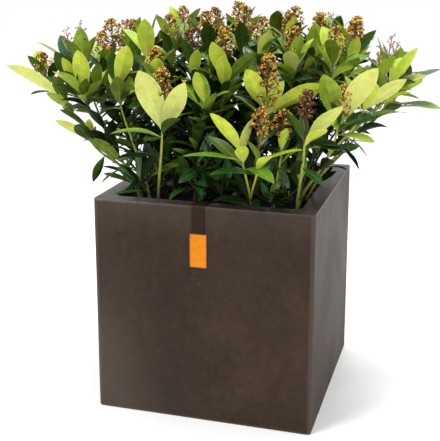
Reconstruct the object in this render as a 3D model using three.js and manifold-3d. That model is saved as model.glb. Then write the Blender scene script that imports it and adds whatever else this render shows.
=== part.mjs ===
// A skimmia shrub in a square fibre-clay pot. Millimetres, +Z up, origin under the middle of the pot.
// Many stems rise from the soil and splay. Each carries one mass of foliage: twigs that fork to
// upright shoots, each shoot with a whorl of leaves under a panicle of buds.
import * as THREE from "three";
import { mergeVertices } from "three/addons/utils/BufferGeometryUtils.js";
import Module from "manifold-3d";

const lerp = THREE.MathUtils.lerp;

// Driving sizes
const gap = 0.3;
const pot = { side: 400, height: 400, wall: 30, base: 24, cornerRound: 5, edgeRound: 7, innerRound: 14 };
const soilDepthBelowRim = 15;
const soilTop = pot.height - soilDepthBelowRim;
const strap = { centreX: -4, width: 23, thick: 1, hangInside: 11, drop: 49, clear: 0.4 };
const tag = { width: 31, height: 61, thick: 1 };

const stemSize = { sides: 5, foot: 4, flare: 1.8, flareRise: 7, tip: 2.8 };
const twigSize = { sides: 3, root: 2.7, head: 2.4 };

// How a stem runs: the shares of its way that it forks at and stays bare for, and how far its line
// is mixed from one direction to the next at the foot, the fork and the head.
const crown = {
  forkShare: 0.55,
  bareShare: 0.74,
  loneBareShare: 0.66,
  pull: 0.35,
  footLean: 0.45,
  forkUpright: 0.2,
  branchOff: 0.5,
  headUpright: 0.5,
};

// Leaves: width to length, the keel's depth to length, half the root's height, and where along
// the leaf its stations, keel and test points are.
const leafSize = { slimness: 0.37, keel: 0.02, keelAt: 0.56, rootHalf: 0.7 };
const leafWidths = [
  { t: 0.4, half: 0.43 },
  { t: 0.74, half: 0.42 },
];
const probeRuns = [0.45, 0.75, 1];
const spineRuns = [0.4, 0.7, 1];

// Whorls: angles in degrees, lengths in millimetres, roots as shares of the twig. A range is
// [lowest, highest], and a spread is the whole width of a random change to either side.
const goldenTurn = 137.5;
const young = {
  count: 6,
  length: 88,
  lengthRange: [0.84, 1.14],
  roots: [0.73, 0.94],
  open: [62, 26],
  openSpread: 14,
  turnSpread: 24,
  bend: [0.3, 0.8],
};
const old = {
  count: 4,
  length: 84,
  lengthRange: [0.8, 1.14],
  roots: [0.1, 0.8],
  loneRoots: [0.1, 0.5],
  open: 68,
  openSpread: 26,
  turnSpread: 30,
  bend: [0.6, 1.2],
};
const lead = { root: 0.97, rootStep: 0.05, bend: 0.35 };

// Panicles: a stalk that rises from the shoot's tip, then a cone of buds or bare side stalks.
const panicle = {
  rise: 24,
  height: 42,
  upright: 0.5,
  radius: 14,
  sides: 5,
  stalkFoot: 1.1,
  stalk: 1.6,
  sunk: 3,
  tiers: [
    { t: 0.22, wide: 1 },
    { t: 0.55, wide: 0.8 },
    { t: 1, wide: 0 },
  ],
};
const spent = {
  stalkRadii: [1.1, 1.4, 1.2],
  sideStalks: 4,
  topStalk: 0.9,
  length: 18,
  topShorter: 0.4,
  open: 46,
  clubRuns: [0, 0.7, 0.84, 1],
  clubRadii: [0.9, 0.8, 2.6, 0.9],
};

// The room a leaf keeps to, and how it is changed at each further try to fit in.
const space = {
  margin: 1,
  tries: 5,
  steeper: 0.15,
  shorter: 0.05,
  swing: 18,
  overPot: 3,
  besideStem: 3,
  besideLeaf: 11.5,
};

// Stems by hand: where each leaves the soil, and its heads, which are the shoot tips at the base of
// a panicle. A lead leaf is [bearing, tilt from upright, length, roll]; bearing 0 is +X, 90 is +Y, and
// roll turns the leaf about its own length. A leaf lower down also states its share of the twig.
// Outer stems state how few leaves they keep.
const stems = [
  {
    foot: [-142, -112],
    oldLeaves: 0,
    heads: [
      { at: [-301, -80, 548], blossom: "none", youngLeaves: 2, leads: [[-168, 48, 136, 35]] },
      {
        at: [-362, -45, 590],
        blossom: "gold",
        rise: 4,
        youngLeaves: 0,
        leads: [[-172, 30, 60, 60], [-60, 54, 46, 0], [60, 48, 54, 0]],
      },
    ],
  },
  {
    foot: [-136, -134],
    oldLeaves: 0,
    heads: [
      { at: [-256, -104, 570], blossom: "none", youngLeaves: 4, leads: [[-78, 14, 98, 0]] },
      { at: [-296, -66, 584], blossom: "none", youngLeaves: 4, leads: [[-120, 16, 62, 30]] },
      { at: [-306, 10, 614], blossom: "spent", rise: 32, tall: 52 },
    ],
  },
  {
    foot: [-114, -142],
    bare: 0.36,
    oldLeaves: 0,
    heads: [
      {
        at: [-200, -80, 584],
        blossom: "gold",
        rise: 66,
        tall: 54,
        leads: [
          [-40, 28, 108, -30],
          [-110, 128, 58, 0, 0.1],
          [-10, 118, 52, -70, 0.06],
          [160, 112, 50, 70, 0.16],
        ],
      },
    ],
  },
  {
    foot: [-96, -148],
    heads: [
      {
        at: [-71, -190, 528],
        blossom: "gold",
        rise: 62,
        youngLeaves: 3,
        leads: [[-126, 19, 124, 42], [-14, 26, 110, -52]],
      },
    ],
  },
  {
    foot: [-88, -80],
    heads: [
      { at: [-113, -104, 592], blossom: "gold" },
      { at: [-158, -30, 628], blossom: "none", leads: [[-74, 16, 96, 0]] },
    ],
  },
  {
    foot: [-150, -20],
    oldLeaves: 3,
    heads: [
      { at: [-272, 34, 606], blossom: "gold" },
      { at: [-358, 62, 604], blossom: "spent", rise: 30, tall: 46, youngLeaves: 5 },
      { at: [-260, -26, 566], blossom: "none", youngLeaves: 4 },
    ],
  },
  {
    foot: [-84, 14],
    heads: [
      { at: [-196, 96, 634], blossom: "none" },
      { at: [-130, 26, 642], blossom: "gold" },
      { at: [-126, 100, 652], blossom: "spent" },
    ],
  },
  {
    foot: [-30, -136],
    heads: [
      { at: [-8, -140, 568], blossom: "none", leads: [[-120, 18, 70, 40], [-20, 16, 64, -50]] },
      { at: [-60, -52, 622], blossom: "dark", rise: 24 },
    ],
  },
  {
    foot: [12, -96],
    heads: [
      {
        at: [14, -94, 606],
        blossom: "gold",
        rise: 46,
        leads: [[-116, 22, 86, 35], [0, 38, 84, -50]],
      },
      { at: [-50, 6, 650], blossom: "gold" },
    ],
  },
  {
    foot: [-32, 64],
    heads: [
      { at: [-56, 84, 654], blossom: "gold" },
      { at: [-26, 150, 646], blossom: "none" },
    ],
  },
  {
    foot: [76, -148],
    fork: 0.2,
    oldLeaves: 2,
    heads: [
      {
        at: [74, -200, 496],
        blossom: "none",
        youngLeaves: 2,
        leads: [[-144, 28, 98, 20], [-106, 20, 92, 30], [-166, 76, 104, 0], [-80, 42, 66, 0]],
      },
      { at: [104, -206, 488], blossom: "gold", rise: 46, youngLeaves: 3, leads: [[6, 62, 78, 0]] },
    ],
  },
  {
    foot: [58, -96],
    bare: 0.2,
    heads: [
      {
        at: [104, -160, 568],
        blossom: "gold",
        rise: 6,
        tall: 84,
        leads: [[-128, 26, 92, 45], [12, 54, 116, -45]],
      },
    ],
  },
  {
    foot: [22, -24],
    heads: [
      { at: [10, 50, 646], blossom: "gold", tall: 56 },
      { at: [58, -6, 642], blossom: "gold" },
      { at: [66, -84, 620], blossom: "none" },
    ],
  },
  {
    foot: [94, -20],
    heads: [
      { at: [92, 76, 646], blossom: "gold" },
      { at: [128, -56, 630], blossom: "gold" },
      { at: [140, 8, 638], blossom: "none" },
    ],
  },
  {
    foot: [112, -130],
    bare: 0.2,
    heads: [
      { at: [134, -168, 502], blossom: "gold", rise: 22, youngLeaves: 4, leads: [[-64, 24, 54, 0]] },
    ],
  },
  {
    foot: [158, -148],
    heads: [
      {
        at: [177, -186, 522],
        blossom: "dark",
        rise: 40,
        youngLeaves: 4,
        leads: [[0, 38, 92, -50], [-150, 24, 66, 30]],
      },
    ],
  },
  {
    foot: [150, -96],
    oldLeaves: 2,
    heads: [
      {
        at: [226, -140, 546],
        blossom: "gold",
        rise: 18,
        leads: [[-150, 26, 108, 55], [-4, 26, 124, -50]],
      },
      {
        at: [262, -100, 566],
        blossom: "none",
        youngLeaves: 3,
        leads: [[10, 44, 90, -50], [8, 132, 58, -28, 0.3], [14, 84, 60, -15, 0.36]],
      },
    ],
  },
  {
    foot: [92, 62],
    heads: [
      { at: [154, 48, 648], blossom: "gold" },
      { at: [160, 118, 650], blossom: "spent" },
      { at: [212, 84, 640], blossom: "gold" },
    ],
  },
  {
    foot: [140, -30],
    heads: [
      { at: [222, 14, 638], blossom: "gold" },
      { at: [200, -66, 632], blossom: "gold" },
    ],
  },
  {
    foot: [158, -52],
    oldLeaves: 0,
    heads: [
      { at: [298, -10, 592], blossom: "none", youngLeaves: 4, leads: [[14, 23, 88, -55]] },
      { at: [266, 30, 602], blossom: "spent", rise: 20, tall: 36, youngLeaves: 5 },
    ],
  },
  {
    foot: [156, 34],
    oldLeaves: 0,
    heads: [
      { at: [304, 84, 576], blossom: "none", youngLeaves: 4, leads: [[28, 54, 92, 0]] },
      { at: [286, 96, 600], blossom: "spent", rise: 24, tall: 38, youngLeaves: 4 },
      { at: [278, 36, 546], blossom: "none", youngLeaves: 2, leads: [[-4, 72, 72, 0]] },
    ],
  },
  {
    foot: [-146, -72],
    heads: [
      {
        at: [-254, -96, 490],
        blossom: "none",
        youngLeaves: 2,
        leads: [[-168, 58, 70, 30], [-60, 20, 48, 0], [-150, 34, 46, 40], [-158, 152, 56, 75, 0.08]],
      },
    ],
  },
  {
    foot: [-146, 72],
    heads: [
      { at: [-244, 132, 624], blossom: "gold" },
      { at: [-292, 152, 570], blossom: "none" },
      { at: [-236, 96, 524], blossom: "none", youngLeaves: 3 },
    ],
  },
];

// The stems behind repeat by rule: feet in a row along the back of the soil, heads in a fan.
const backRow = {
  count: 5,
  footReach: 128,
  footY: 124,
  headReach: 232,
  fan: [
    { aside: -34, y: 178, z: 620, blossom: "gold" },
    { aside: 36, y: 202, z: 606, blossom: "spent" },
    { aside: 4, y: 262, z: 552, blossom: "none" },
  ],
  lift: 42,
  bow: 24,
  endOldLeaves: 1,
};
for (let i = 0; i < backRow.count; i++) {
  const across = (2 * i) / (backRow.count - 1) - 1;
  const lift = backRow.lift * (1 - across * across);
  stems.push({
    foot: [across * backRow.footReach, backRow.footY],
    oldLeaves: Math.round(lerp(old.count, backRow.endOldLeaves, across * across)),
    heads: backRow.fan.map((head) => ({
      at: [across * backRow.headReach + head.aside, head.y - backRow.bow * across * across, head.z + lift],
      blossom: head.blossom,
    })),
  });
}

const wasm = await Module();
wasm.setup();

const up = new THREE.Vector3(0, 0, 1);
const vec = (x, y, z) => new THREE.Vector3(x, y, z);
const radians = THREE.MathUtils.degToRad;

// A repeatable stream of numbers from 0 to 1. Each mass of foliage has its own, from the first seed on.
const firstSeed = 101;
const stream = { scatter: 2654435761, factor: 1664525, step: 1013904223, range: 2 ** 32 };
function seeded(seed) {
  let state = Math.imul(seed, stream.scatter) >>> 0;
  return () => {
    state = (Math.imul(state, stream.factor) + stream.step) >>> 0;
    return state / stream.range;
  };
}

// A closed geometry as a solid, with its doubled vertices merged and its empty faces left out.
const mergeWithin = 0.001;
function solidOf(geometry) {
  const bare = geometry.clone();
  bare.deleteAttribute("normal");
  bare.deleteAttribute("uv");
  const merged = mergeVertices(bare, mergeWithin);
  const faces = [];
  for (let i = 0; i < merged.index.count; i += 3) {
    const [a, b, c] = merged.index.array.slice(i, i + 3);
    if (a !== b && b !== c && c !== a) faces.push(a, b, c);
  }
  return new wasm.Manifold(
    new wasm.Mesh({
      numProp: 3,
      vertProperties: merged.attributes.position.array,
      triVerts: new Uint32Array(faces),
    }),
  );
}

// A solid's largest body as a geometry: loose scraps and sealed hollows are left behind.
function geometryOf(solid) {
  const bodies = solid.decompose();
  const body = bodies.reduce((most, next) => (next.volume() > most.volume() ? next : most));
  const mesh = body.getMesh();
  const geometry = new THREE.BufferGeometry();
  geometry.setAttribute("position", new THREE.BufferAttribute(mesh.vertProperties, 3));
  geometry.setIndex(new THREE.BufferAttribute(mesh.triVerts, 1));
  return geometry;
}

// Pieces that run into one another, as one body.
function fuse(geometries) {
  return geometryOf(geometries.map(solidOf).reduce((whole, next) => whole.add(next)));
}

// A tapering limb along a row of points. With a level foot its first ring lies flat on the soil.
function limb(points, radii, sides, levelFoot = false) {
  const overall = points[points.length - 1].clone().sub(points[0]).normalize();
  const reference = Math.abs(overall.x) < 0.8 ? vec(1, 0, 0) : vec(0, 1, 0);
  const corners = [];
  points.forEach((point, i) => {
    const after = points[Math.min(i + 1, points.length - 1)];
    const before = points[Math.max(i - 1, 0)];
    const along = levelFoot && i === 0 ? up : after.clone().sub(before).normalize();
    const side = reference.clone().addScaledVector(along, -reference.dot(along)).normalize();
    const other = along.clone().cross(side);
    for (let k = 0; k < sides; k++) {
      const angle = (2 * Math.PI * k) / sides;
      const corner = point.clone().addScaledVector(side, radii[i] * Math.cos(angle));
      corners.push(corner.addScaledVector(other, radii[i] * Math.sin(angle)));
    }
  });
  const faces = [];
  for (let i = 0; i + 1 < points.length; i++) {
    for (let k = 0; k < sides; k++) {
      const a = i * sides + k;
      const b = i * sides + ((k + 1) % sides);
      faces.push(a, b, b + sides, a, b + sides, a + sides);
    }
  }
  const last = (points.length - 1) * sides;
  for (let k = 1; k + 1 < sides; k++) faces.push(0, k + 1, k, last, last + k, last + k + 1);
  return closedGeometry(corners, faces);
}

// Corners and the faces between them, as a geometry.
function closedGeometry(corners, faces) {
  const geometry = new THREE.BufferGeometry().setFromPoints(corners);
  geometry.setIndex(faces);
  return geometry;
}

// A point part of the way along a run of straight pieces.
function pointOn(run, share) {
  const lengths = run.slice(1).map((point, i) => point.distanceTo(run[i]));
  let left = share * lengths.reduce((sum, length) => sum + length, 0);
  const last = lengths.length - 1;
  const i = lengths.findIndex((length, k) => k === last || left <= length || ((left -= length), false));
  return run[i].clone().lerp(run[i + 1], left / lengths[i]);
}

const taper = (from, to, count) => Array.from({ length: count }, (_, i) => lerp(from, to, i / (count - 1)));

const mixed = (a, b, share) => a.clone().lerp(b, share).normalize();

// A smooth run from one point to another that sets off and arrives in given directions.
function sweep(from, leaving, to, arriving) {
  const pull = crown.pull * from.distanceTo(to);
  const first = from.clone().addScaledVector(leaving, pull);
  return new THREE.CubicBezierCurve3(from, first, to.clone().addScaledVector(arriving, -pull), to);
}

const toward = (from, to) => to.clone().sub(from).normalize();

// The runs of one stem: bare from the soil, then the twig that leads its mass up to the fork, and a
// branch on to each head. A stem with one head runs straight on to it.
function planStem({ foot, heads, fork = crown.forkShare, bare: bareGiven, oldLeaves: oldGiven }) {
  const start = vec(foot[0], foot[1], soilTop + gap);
  const tips = heads.map((head) => vec(...head.at));
  const middle = tips.reduce((sum, tip) => sum.add(tip), vec(0, 0, 0)).divideScalar(tips.length);
  const lone = heads.length === 1;
  const knee = start.clone().lerp(middle, lone ? 1 : fork);
  const lean = toward(start, middle);
  const reach = knee.distanceTo(start);
  const kneeUpright = lone ? crown.headUpright : crown.forkUpright;
  const main = sweep(start, mixed(up, lean, crown.footLean), knee, mixed(lean, up, kneeUpright));
  const bareShare = bareGiven ?? (lone ? crown.loneBareShare : crown.bareShare);
  const flareShare = stemSize.flareRise / reach;
  const twigStart = bareShare + (2 * gap) / reach;
  const bare = [0, flareShare, (flareShare + bareShare) / 2, bareShare].map((t) => main.getPoint(t));
  const twig = [twigStart, (twigStart + 1) / 2, 1].map((t) => main.getPoint(t));
  const shoots = heads.map((head, i) => {
    const tip = tips[i];
    const aim = mixed(toward(start, tip), up, crown.headUpright);
    const branch = sweep(knee, mixed(lean, toward(knee, tip), crown.branchOff), tip, aim);
    return { ...head, tip, aim, run: lone ? twig : [0, 0.5, 1].map((t) => branch.getPoint(t)) };
  });
  const oldLeaves = oldGiven ?? (lone && bareGiven === undefined ? 0 : old.count);
  return { start, bare, twig, shoots, lone, lean, oldLeaves };
}

// Where a shoot's panicle starts and ends above its tip.
function panicleTop(shoot) {
  const rise = shoot.rise ?? panicle.rise;
  const tall = shoot.tall ?? panicle.height;
  const axis = mixed(shoot.aim, up, panicle.upright);
  return {
    axis,
    rise,
    tall,
    foot: shoot.tip.clone().addScaledVector(axis, rise),
    end: shoot.tip.clone().addScaledVector(axis, rise + tall),
  };
}

const plans = stems.map(planStem);

// The lead leaves of a shoot, at the bearings, tilts and rolls given for them.
function leadPlaces(shoot) {
  return (shoot.leads ?? []).map(([bearing, tilt, length, roll, share], k) => {
    const root = pointOn(shoot.run, share ?? lead.root - lead.rootStep * k);
    const turns = { bearing: radians(bearing), open: radians(tilt), roll: radians(roll) };
    return { root, axis: up, length, bend: lead.bend, ...turns };
  });
}

// Every mass's own lines, as runs of points: its stem, its twigs, its panicle stalks and the
// midribs of its lead leaves.
const lines = plans.map((plan) => {
  const stalks = plan.shoots.filter((shoot) => shoot.blossom !== "none");
  return [
    [...plan.bare, ...plan.twig],
    ...(plan.lone ? [] : plan.shoots.map((shoot) => shoot.run)),
    ...stalks.map((shoot) => [shoot.tip, panicleTop(shoot).end]),
    ...plan.shoots.flatMap(leadPlaces).map((place) => [place.root, ...spineRuns.map(aimLeaf(place).spine)]),
  ];
});

// How far a point is from a run of straight pieces.
const segment = new THREE.Line3();
const nearestPoint = vec(0, 0, 0);
function distanceTo(point, run) {
  let least = Infinity;
  for (let i = 0; i + 1 < run.length; i++) {
    segment.set(run[i], run[i + 1]).closestPointToPoint(point, true, nearestPoint);
    least = Math.min(least, nearestPoint.distanceTo(point));
  }
  return least;
}

// True where a point is clear of the pot, off its own bare stem, and nearer to its own lines than to
// those of any other mass.
function inOwnSpace(point, index) {
  const beside = Math.max(Math.abs(point.x), Math.abs(point.y)) > pot.side / 2 + space.overPot;
  if (!beside && point.z < pot.height + space.overPot) return false;
  if (distanceTo(point, plans[index].bare) < stemSize.foot + space.besideStem) return false;
  const own = Math.min(...lines[index].map((run) => distanceTo(point, run)));
  return lines.every((runs, other) => {
    return other === index || runs.every((run) => distanceTo(point, run) > own + space.margin);
  });
}

// A leaf as its sizes and a way to find points on it. It arches away from its upper face.
function layLeaf(root, along, face, length, bend) {
  const side = along.clone().cross(face).normalize();
  const width = length * leafSize.slimness;
  const spine = (t) =>
    root
      .clone()
      .addScaledVector(along, (length * Math.sin(bend * t)) / bend)
      .addScaledVector(face, (-length * (1 - Math.cos(bend * t))) / bend);
  const faceAt = (t) =>
    face.clone().multiplyScalar(Math.cos(bend * t)).addScaledVector(along, Math.sin(bend * t));
  const edge = (t, half) => spine(t).addScaledVector(side, half * width);
  return { length, spine, faceAt, edge };
}

// A leaf turned to a bearing round an axis and opened from it.
function aimLeaf({ root, axis, bearing, open, length, bend, roll = 0 }) {
  const out = vec(Math.cos(bearing), Math.sin(bearing), 0);
  out.addScaledVector(axis, -out.dot(axis)).normalize();
  const along = axis.clone().multiplyScalar(Math.cos(open)).addScaledVector(out, Math.sin(open));
  const face = axis.clone().multiplyScalar(Math.sin(open)).addScaledVector(out, -Math.cos(open));
  return layLeaf(root, along, face.applyAxisAngle(along, roll), length, bend);
}

// The points of a leaf that are tested for room.
function leafProbes({ spine, edge }) {
  const edges = leafWidths.flatMap(({ t, half }) => [edge(t, half), edge(t, -half)]);
  return [...probeRuns.map(spine), ...edges];
}

// The upper side runs across from edge to edge; the under side is a fan round a keel at the midrib.
// The root is a short upright edge, sunk in the twig.
function leafGeometry({ length, spine, faceAt, edge }) {
  const [low, high] = leafWidths;
  const corners = [
    spine(0).addScaledVector(faceAt(0), leafSize.rootHalf),
    spine(0).addScaledVector(faceAt(0), -leafSize.rootHalf),
    edge(low.t, low.half),
    edge(low.t, -low.half),
    edge(high.t, high.half),
    edge(high.t, -high.half),
    spine(1),
    spine(leafSize.keelAt).addScaledVector(faceAt(leafSize.keelAt), -leafSize.keel * length),
  ];
  const [rootTop, rootUnder, lowR, lowL, highR, highL, tip, keel] = corners.keys();
  const faces = [rootTop, rootUnder, lowR, rootUnder, rootTop, lowL];
  faces.push(rootTop, lowR, lowL, lowL, lowR, highR, lowL, highR, highL, highL, highR, tip);
  const rim = [rootUnder, lowR, highR, tip, highL, lowL];
  rim.forEach((corner, i) => faces.push(keel, rim[(i + 1) % rim.length], corner));
  return closedGeometry(corners, faces);
}

// The spines of the leaves already placed in each mass, which the next ones keep clear of.
const placedSpines = plans.map(() => []);

function leafFits(leaf, index) {
  const probes = leafProbes(leaf);
  return (
    probes.every((point) => inOwnSpace(point, index)) &&
    placedSpines[index].every((run) => probes.every((point) => distanceTo(point, run) > space.besideLeaf))
  );
}

// One leaf of a mass. Where it would leave its space or cross another it is tried steeper, shorter
// and turned aside, and then skipped.
function growLeaf(index, place) {
  for (let attempt = 0; attempt < space.tries; attempt++) {
    const leaf = aimLeaf({
      ...place,
      open: place.open * (1 - space.steeper * attempt),
      bearing: place.bearing + radians(space.swing) * attempt * (attempt % 2 ? 1 : -1),
      length: place.length * (1 - space.shorter * attempt),
    });
    if (leafFits(leaf, index)) {
      placedSpines[index].push(spineRuns.map(leaf.spine));
      return leafGeometry(leaf);
    }
  }
  return null;
}

const spread = (random, width) => width * (random() - 0.5);
const within = (random, [lowest, highest]) => lerp(lowest, highest, random());

// The rest of the whorl at a shoot's tip, by the golden angle up the last of the twig.
function youngWhorl(index, shoot, random) {
  const leaves = [];
  const first = 360 * random();
  const count = shoot.youngLeaves ?? young.count - Math.ceil((shoot.leads ?? []).length / 2);
  for (let k = 0; k < count; k++) {
    const share = k / (count - 1);
    const bearing = radians(first + goldenTurn * k + spread(random, young.turnSpread));
    const open = radians(lerp(...young.open, share) + spread(random, young.openSpread));
    const length = young.length * within(random, young.lengthRange);
    const root = pointOn(shoot.run, lerp(...young.roots, share));
    const bend = within(random, young.bend);
    leaves.push(growLeaf(index, { root, axis: shoot.aim, bearing, open, length, bend }));
  }
  return leaves;
}

// The older, wider-spread leaves round the fork.
function oldWhorl(index, plan, random) {
  const leaves = [];
  const first = 360 * random();
  for (let k = 0; k < plan.oldLeaves; k++) {
    const bearing = radians(first + goldenTurn * k + spread(random, old.turnSpread));
    const open = radians(old.open + spread(random, old.openSpread));
    const length = old.length * within(random, old.lengthRange);
    const roots = plan.lone ? old.loneRoots : old.roots;
    const root = pointOn(plan.twig, lerp(...roots, k / old.count));
    const bend = within(random, old.bend);
    leaves.push(growLeaf(index, { root, axis: plan.lean, bearing, open, length, bend }));
  }
  return leaves;
}

// A full panicle: one turned shape, with a thin stalk under a cone of tiers of buds.
function fullPanicle(shoot) {
  const { axis, tall, rise } = panicleTop(shoot);
  const radius = panicle.radius * Math.sqrt(tall / panicle.height);
  const profile = [new THREE.Vector2(0, -panicle.sunk), new THREE.Vector2(panicle.stalkFoot, -panicle.sunk)];
  profile.push(new THREE.Vector2(panicle.stalk, rise));
  panicle.tiers.forEach(({ t, wide }) => profile.push(new THREE.Vector2(radius * wide, rise + tall * t)));
  const cone = new THREE.LatheGeometry(profile, panicle.sides);
  cone.applyQuaternion(new THREE.Quaternion().setFromUnitVectors(vec(0, 1, 0), axis));
  return cone.translate(shoot.tip.x, shoot.tip.y, shoot.tip.z);
}

// A spent panicle: a thin stalk with bare side stalks, each a small club.
function spentPanicle(shoot, random) {
  const { axis, foot, end } = panicleTop(shoot);
  const root = shoot.tip.clone().addScaledVector(axis, -panicle.sunk);
  const pieces = [limb([root, foot, end], spent.stalkRadii, twigSize.sides)];
  const first = 2 * Math.PI * random();
  for (let k = 0; k < spent.sideStalks; k++) {
    const share = k / spent.sideStalks;
    const start = foot.clone().lerp(end, share * spent.topStalk);
    const bearing = first + radians(goldenTurn) * k;
    const out = vec(Math.cos(bearing), Math.sin(bearing), 0);
    out.addScaledVector(axis, -out.dot(axis)).normalize();
    const aim = axis.clone().multiplyScalar(Math.cos(radians(spent.open)));
    aim.addScaledVector(out, Math.sin(radians(spent.open)));
    const length = spent.length * (1 - spent.topShorter * share);
    const club = spent.clubRuns.map((run) => start.clone().addScaledVector(aim, length * run));
    pieces.push(limb(club, spent.clubRadii, twigSize.sides));
  }
  return pieces;
}

// A stem's bare length, flared at its flat foot.
function stemGeometry(plan) {
  const radii = taper(stemSize.foot, stemSize.tip, plan.bare.length);
  radii[0] *= stemSize.flare;
  return limb(plan.bare, radii, stemSize.sides, true);
}

// A mass of foliage, which starts a gap beyond the tip of its stem. Its first twig runs on to its
// first head, and the others branch off at the fork.
function foliageGeometry(plan, index) {
  const random = seeded(firstSeed + index);
  const pieces = [];
  plan.shoots.forEach((shoot, i) => {
    const onward = plan.lone ? [] : shoot.run.slice(1);
    const twig = i === 0 ? [...plan.twig, ...onward] : shoot.run;
    const root = i === 0 ? stemSize.tip : twigSize.root;
    pieces.push(limb(twig, taper(root, twigSize.head, twig.length), twigSize.sides));
  });
  pieces.push(...plan.shoots.flatMap(leadPlaces).map((place) => growLeaf(index, place)));
  pieces.push(...oldWhorl(index, plan, random));
  for (const shoot of plan.shoots) {
    pieces.push(...youngWhorl(index, shoot, random));
    if (shoot.blossom === "spent") pieces.push(...spentPanicle(shoot, random));
    else if (shoot.blossom !== "none") pieces.push(fullPanicle(shoot));
  }
  return fuse(pieces.filter((piece) => piece !== null));
}

// A square with round corners.
function roundedSquare(side, radius) {
  const half = side / 2;
  const straight = half - radius;
  const shape = new THREE.Shape();
  shape.moveTo(-straight, -half);
  shape.lineTo(straight, -half);
  shape.absarc(straight, -straight, radius, -Math.PI / 2, 0);
  shape.lineTo(half, straight);
  shape.absarc(straight, straight, radius, 0, Math.PI / 2);
  shape.lineTo(-straight, half);
  shape.absarc(-straight, straight, radius, Math.PI / 2, Math.PI);
  shape.lineTo(-half, -straight);
  shape.absarc(-straight, -straight, radius, Math.PI, 1.5 * Math.PI);
  return shape;
}

// The pot: a rounded block hollowed from above.
function potGeometry() {
  const { side, height, wall, base, cornerRound, edgeRound, innerRound } = pot;
  const block = new THREE.ExtrudeGeometry(roundedSquare(side - 2 * edgeRound, cornerRound), {
    depth: height - 2 * edgeRound,
    curveSegments: 2,
    bevelThickness: edgeRound,
    bevelSize: edgeRound,
    bevelSegments: 2,
  }).translate(0, 0, edgeRound);
  const hollow = new THREE.ExtrudeGeometry(roundedSquare(side - 2 * wall, innerRound), {
    depth: height,
    curveSegments: 3,
    bevelEnabled: false,
  }).translate(0, 0, base);
  return geometryOf(solidOf(block).subtract(solidOf(hollow)));
}

// The soil fills the pot, a gap off its walls and its base.
function soilGeometry() {
  const { side, wall, base, innerRound } = pot;
  return new THREE.ExtrudeGeometry(roundedSquare(side - 2 * wall - 2 * gap, innerRound - gap), {
    depth: soilTop - base - gap,
    curveSegments: 3,
    bevelEnabled: false,
  });
}

// The label's strap: a thin band hooked inside the rim, over it and down the front of the pot.
function strapGeometry() {
  const { thick, hangInside, drop, clear, width } = strap;
  const inner = -(pot.side / 2 - pot.wall) + clear;
  const bendY = -(pot.side / 2 - pot.edgeRound);
  const bendZ = pot.height - pot.edgeRound;
  const under = pot.edgeRound + clear;
  const profile = new THREE.Shape();
  profile.moveTo(inner, pot.height - hangInside);
  profile.lineTo(inner, pot.height + clear);
  profile.lineTo(bendY, pot.height + clear);
  profile.absarc(bendY, bendZ, under, Math.PI / 2, Math.PI);
  profile.lineTo(bendY - under, pot.height - drop);
  profile.lineTo(bendY - under - thick, pot.height - drop);
  profile.absarc(bendY, bendZ, under + thick, Math.PI, Math.PI / 2, true);
  profile.lineTo(inner + thick, pot.height + clear + thick);
  profile.lineTo(inner + thick, pot.height - hangInside);
  const band = new THREE.ExtrudeGeometry(profile, { depth: width, curveSegments: 4, bevelEnabled: false });
  // The profile is drawn in the Y and Z of the pot and drawn out along X.
  return band.applyMatrix4(
    new THREE.Matrix4().set(0, 0, 1, -width / 2, 1, 0, 0, 0, 0, 1, 0, 0, 0, 0, 0, 1),
  );
}

const look = (color, roughness) => new THREE.MeshStandardMaterial({ color, roughness, metalness: 0 });
const looks = {
  pot: look(0x4a4038, 0.75),
  soil: look(0x1e1813, 0.95),
  strap: look(0x2a221c, 0.6),
  tag: look(0xf49a10, 0.55),
  stem: look(0x7c8038, 0.7),
  foliage: look(0x6f9a2c, 0.45),
};

const model = new THREE.Group();

function place(name, geometry, material, x, y, z) {
  const mesh = new THREE.Mesh(geometry, material);
  mesh.name = name;
  mesh.position.set(x, y, z);
  model.add(mesh);
}

place("pot", potGeometry(), looks.pot, 0, 0, 0);
place("soil", soilGeometry(), looks.soil, 0, 0, pot.base + gap);
place("label_strap", strapGeometry(), looks.strap, strap.centreX, 0, 0);
const strapFace = -(pot.side / 2 + strap.clear + tag.thick / 2);
place(
  "label_tag",
  new THREE.BoxGeometry(tag.width, tag.thick, tag.height),
  looks.tag,
  strap.centreX,
  strapFace,
  pot.height - strap.drop - gap - tag.height / 2,
);

plans.forEach((plan, index) => {
  const number = String(index + 1).padStart(2, "0");
  const { x, y, z } = plan.start;
  place(`stem_${number}`, stemGeometry(plan).translate(-x, -y, -z), looks.stem, x, y, z);
  place(`foliage_${number}`, foliageGeometry(plan, index).translate(-x, -y, -z), looks.foliage, x, y, z);
});

export default model;
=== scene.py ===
import bpy
import math
import numpy as np
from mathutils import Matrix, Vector


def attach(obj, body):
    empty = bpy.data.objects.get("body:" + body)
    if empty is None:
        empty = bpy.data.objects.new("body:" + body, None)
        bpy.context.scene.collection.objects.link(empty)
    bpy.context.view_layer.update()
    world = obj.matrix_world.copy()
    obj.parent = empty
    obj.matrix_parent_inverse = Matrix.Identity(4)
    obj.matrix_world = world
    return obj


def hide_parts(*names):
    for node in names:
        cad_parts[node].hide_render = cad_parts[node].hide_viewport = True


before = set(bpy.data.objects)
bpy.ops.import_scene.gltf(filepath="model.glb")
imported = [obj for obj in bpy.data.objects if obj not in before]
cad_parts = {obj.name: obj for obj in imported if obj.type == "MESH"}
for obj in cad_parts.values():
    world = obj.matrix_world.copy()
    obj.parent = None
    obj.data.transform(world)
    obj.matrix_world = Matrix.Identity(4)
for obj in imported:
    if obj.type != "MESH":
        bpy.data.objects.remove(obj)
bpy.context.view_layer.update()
scene = bpy.context.scene
scene.view_settings.view_transform = "Standard"
mm = 0.001  # the growth rule works in millimetres, Blender in metres
up = np.array([0.0, 0.0, 1.0])
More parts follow.
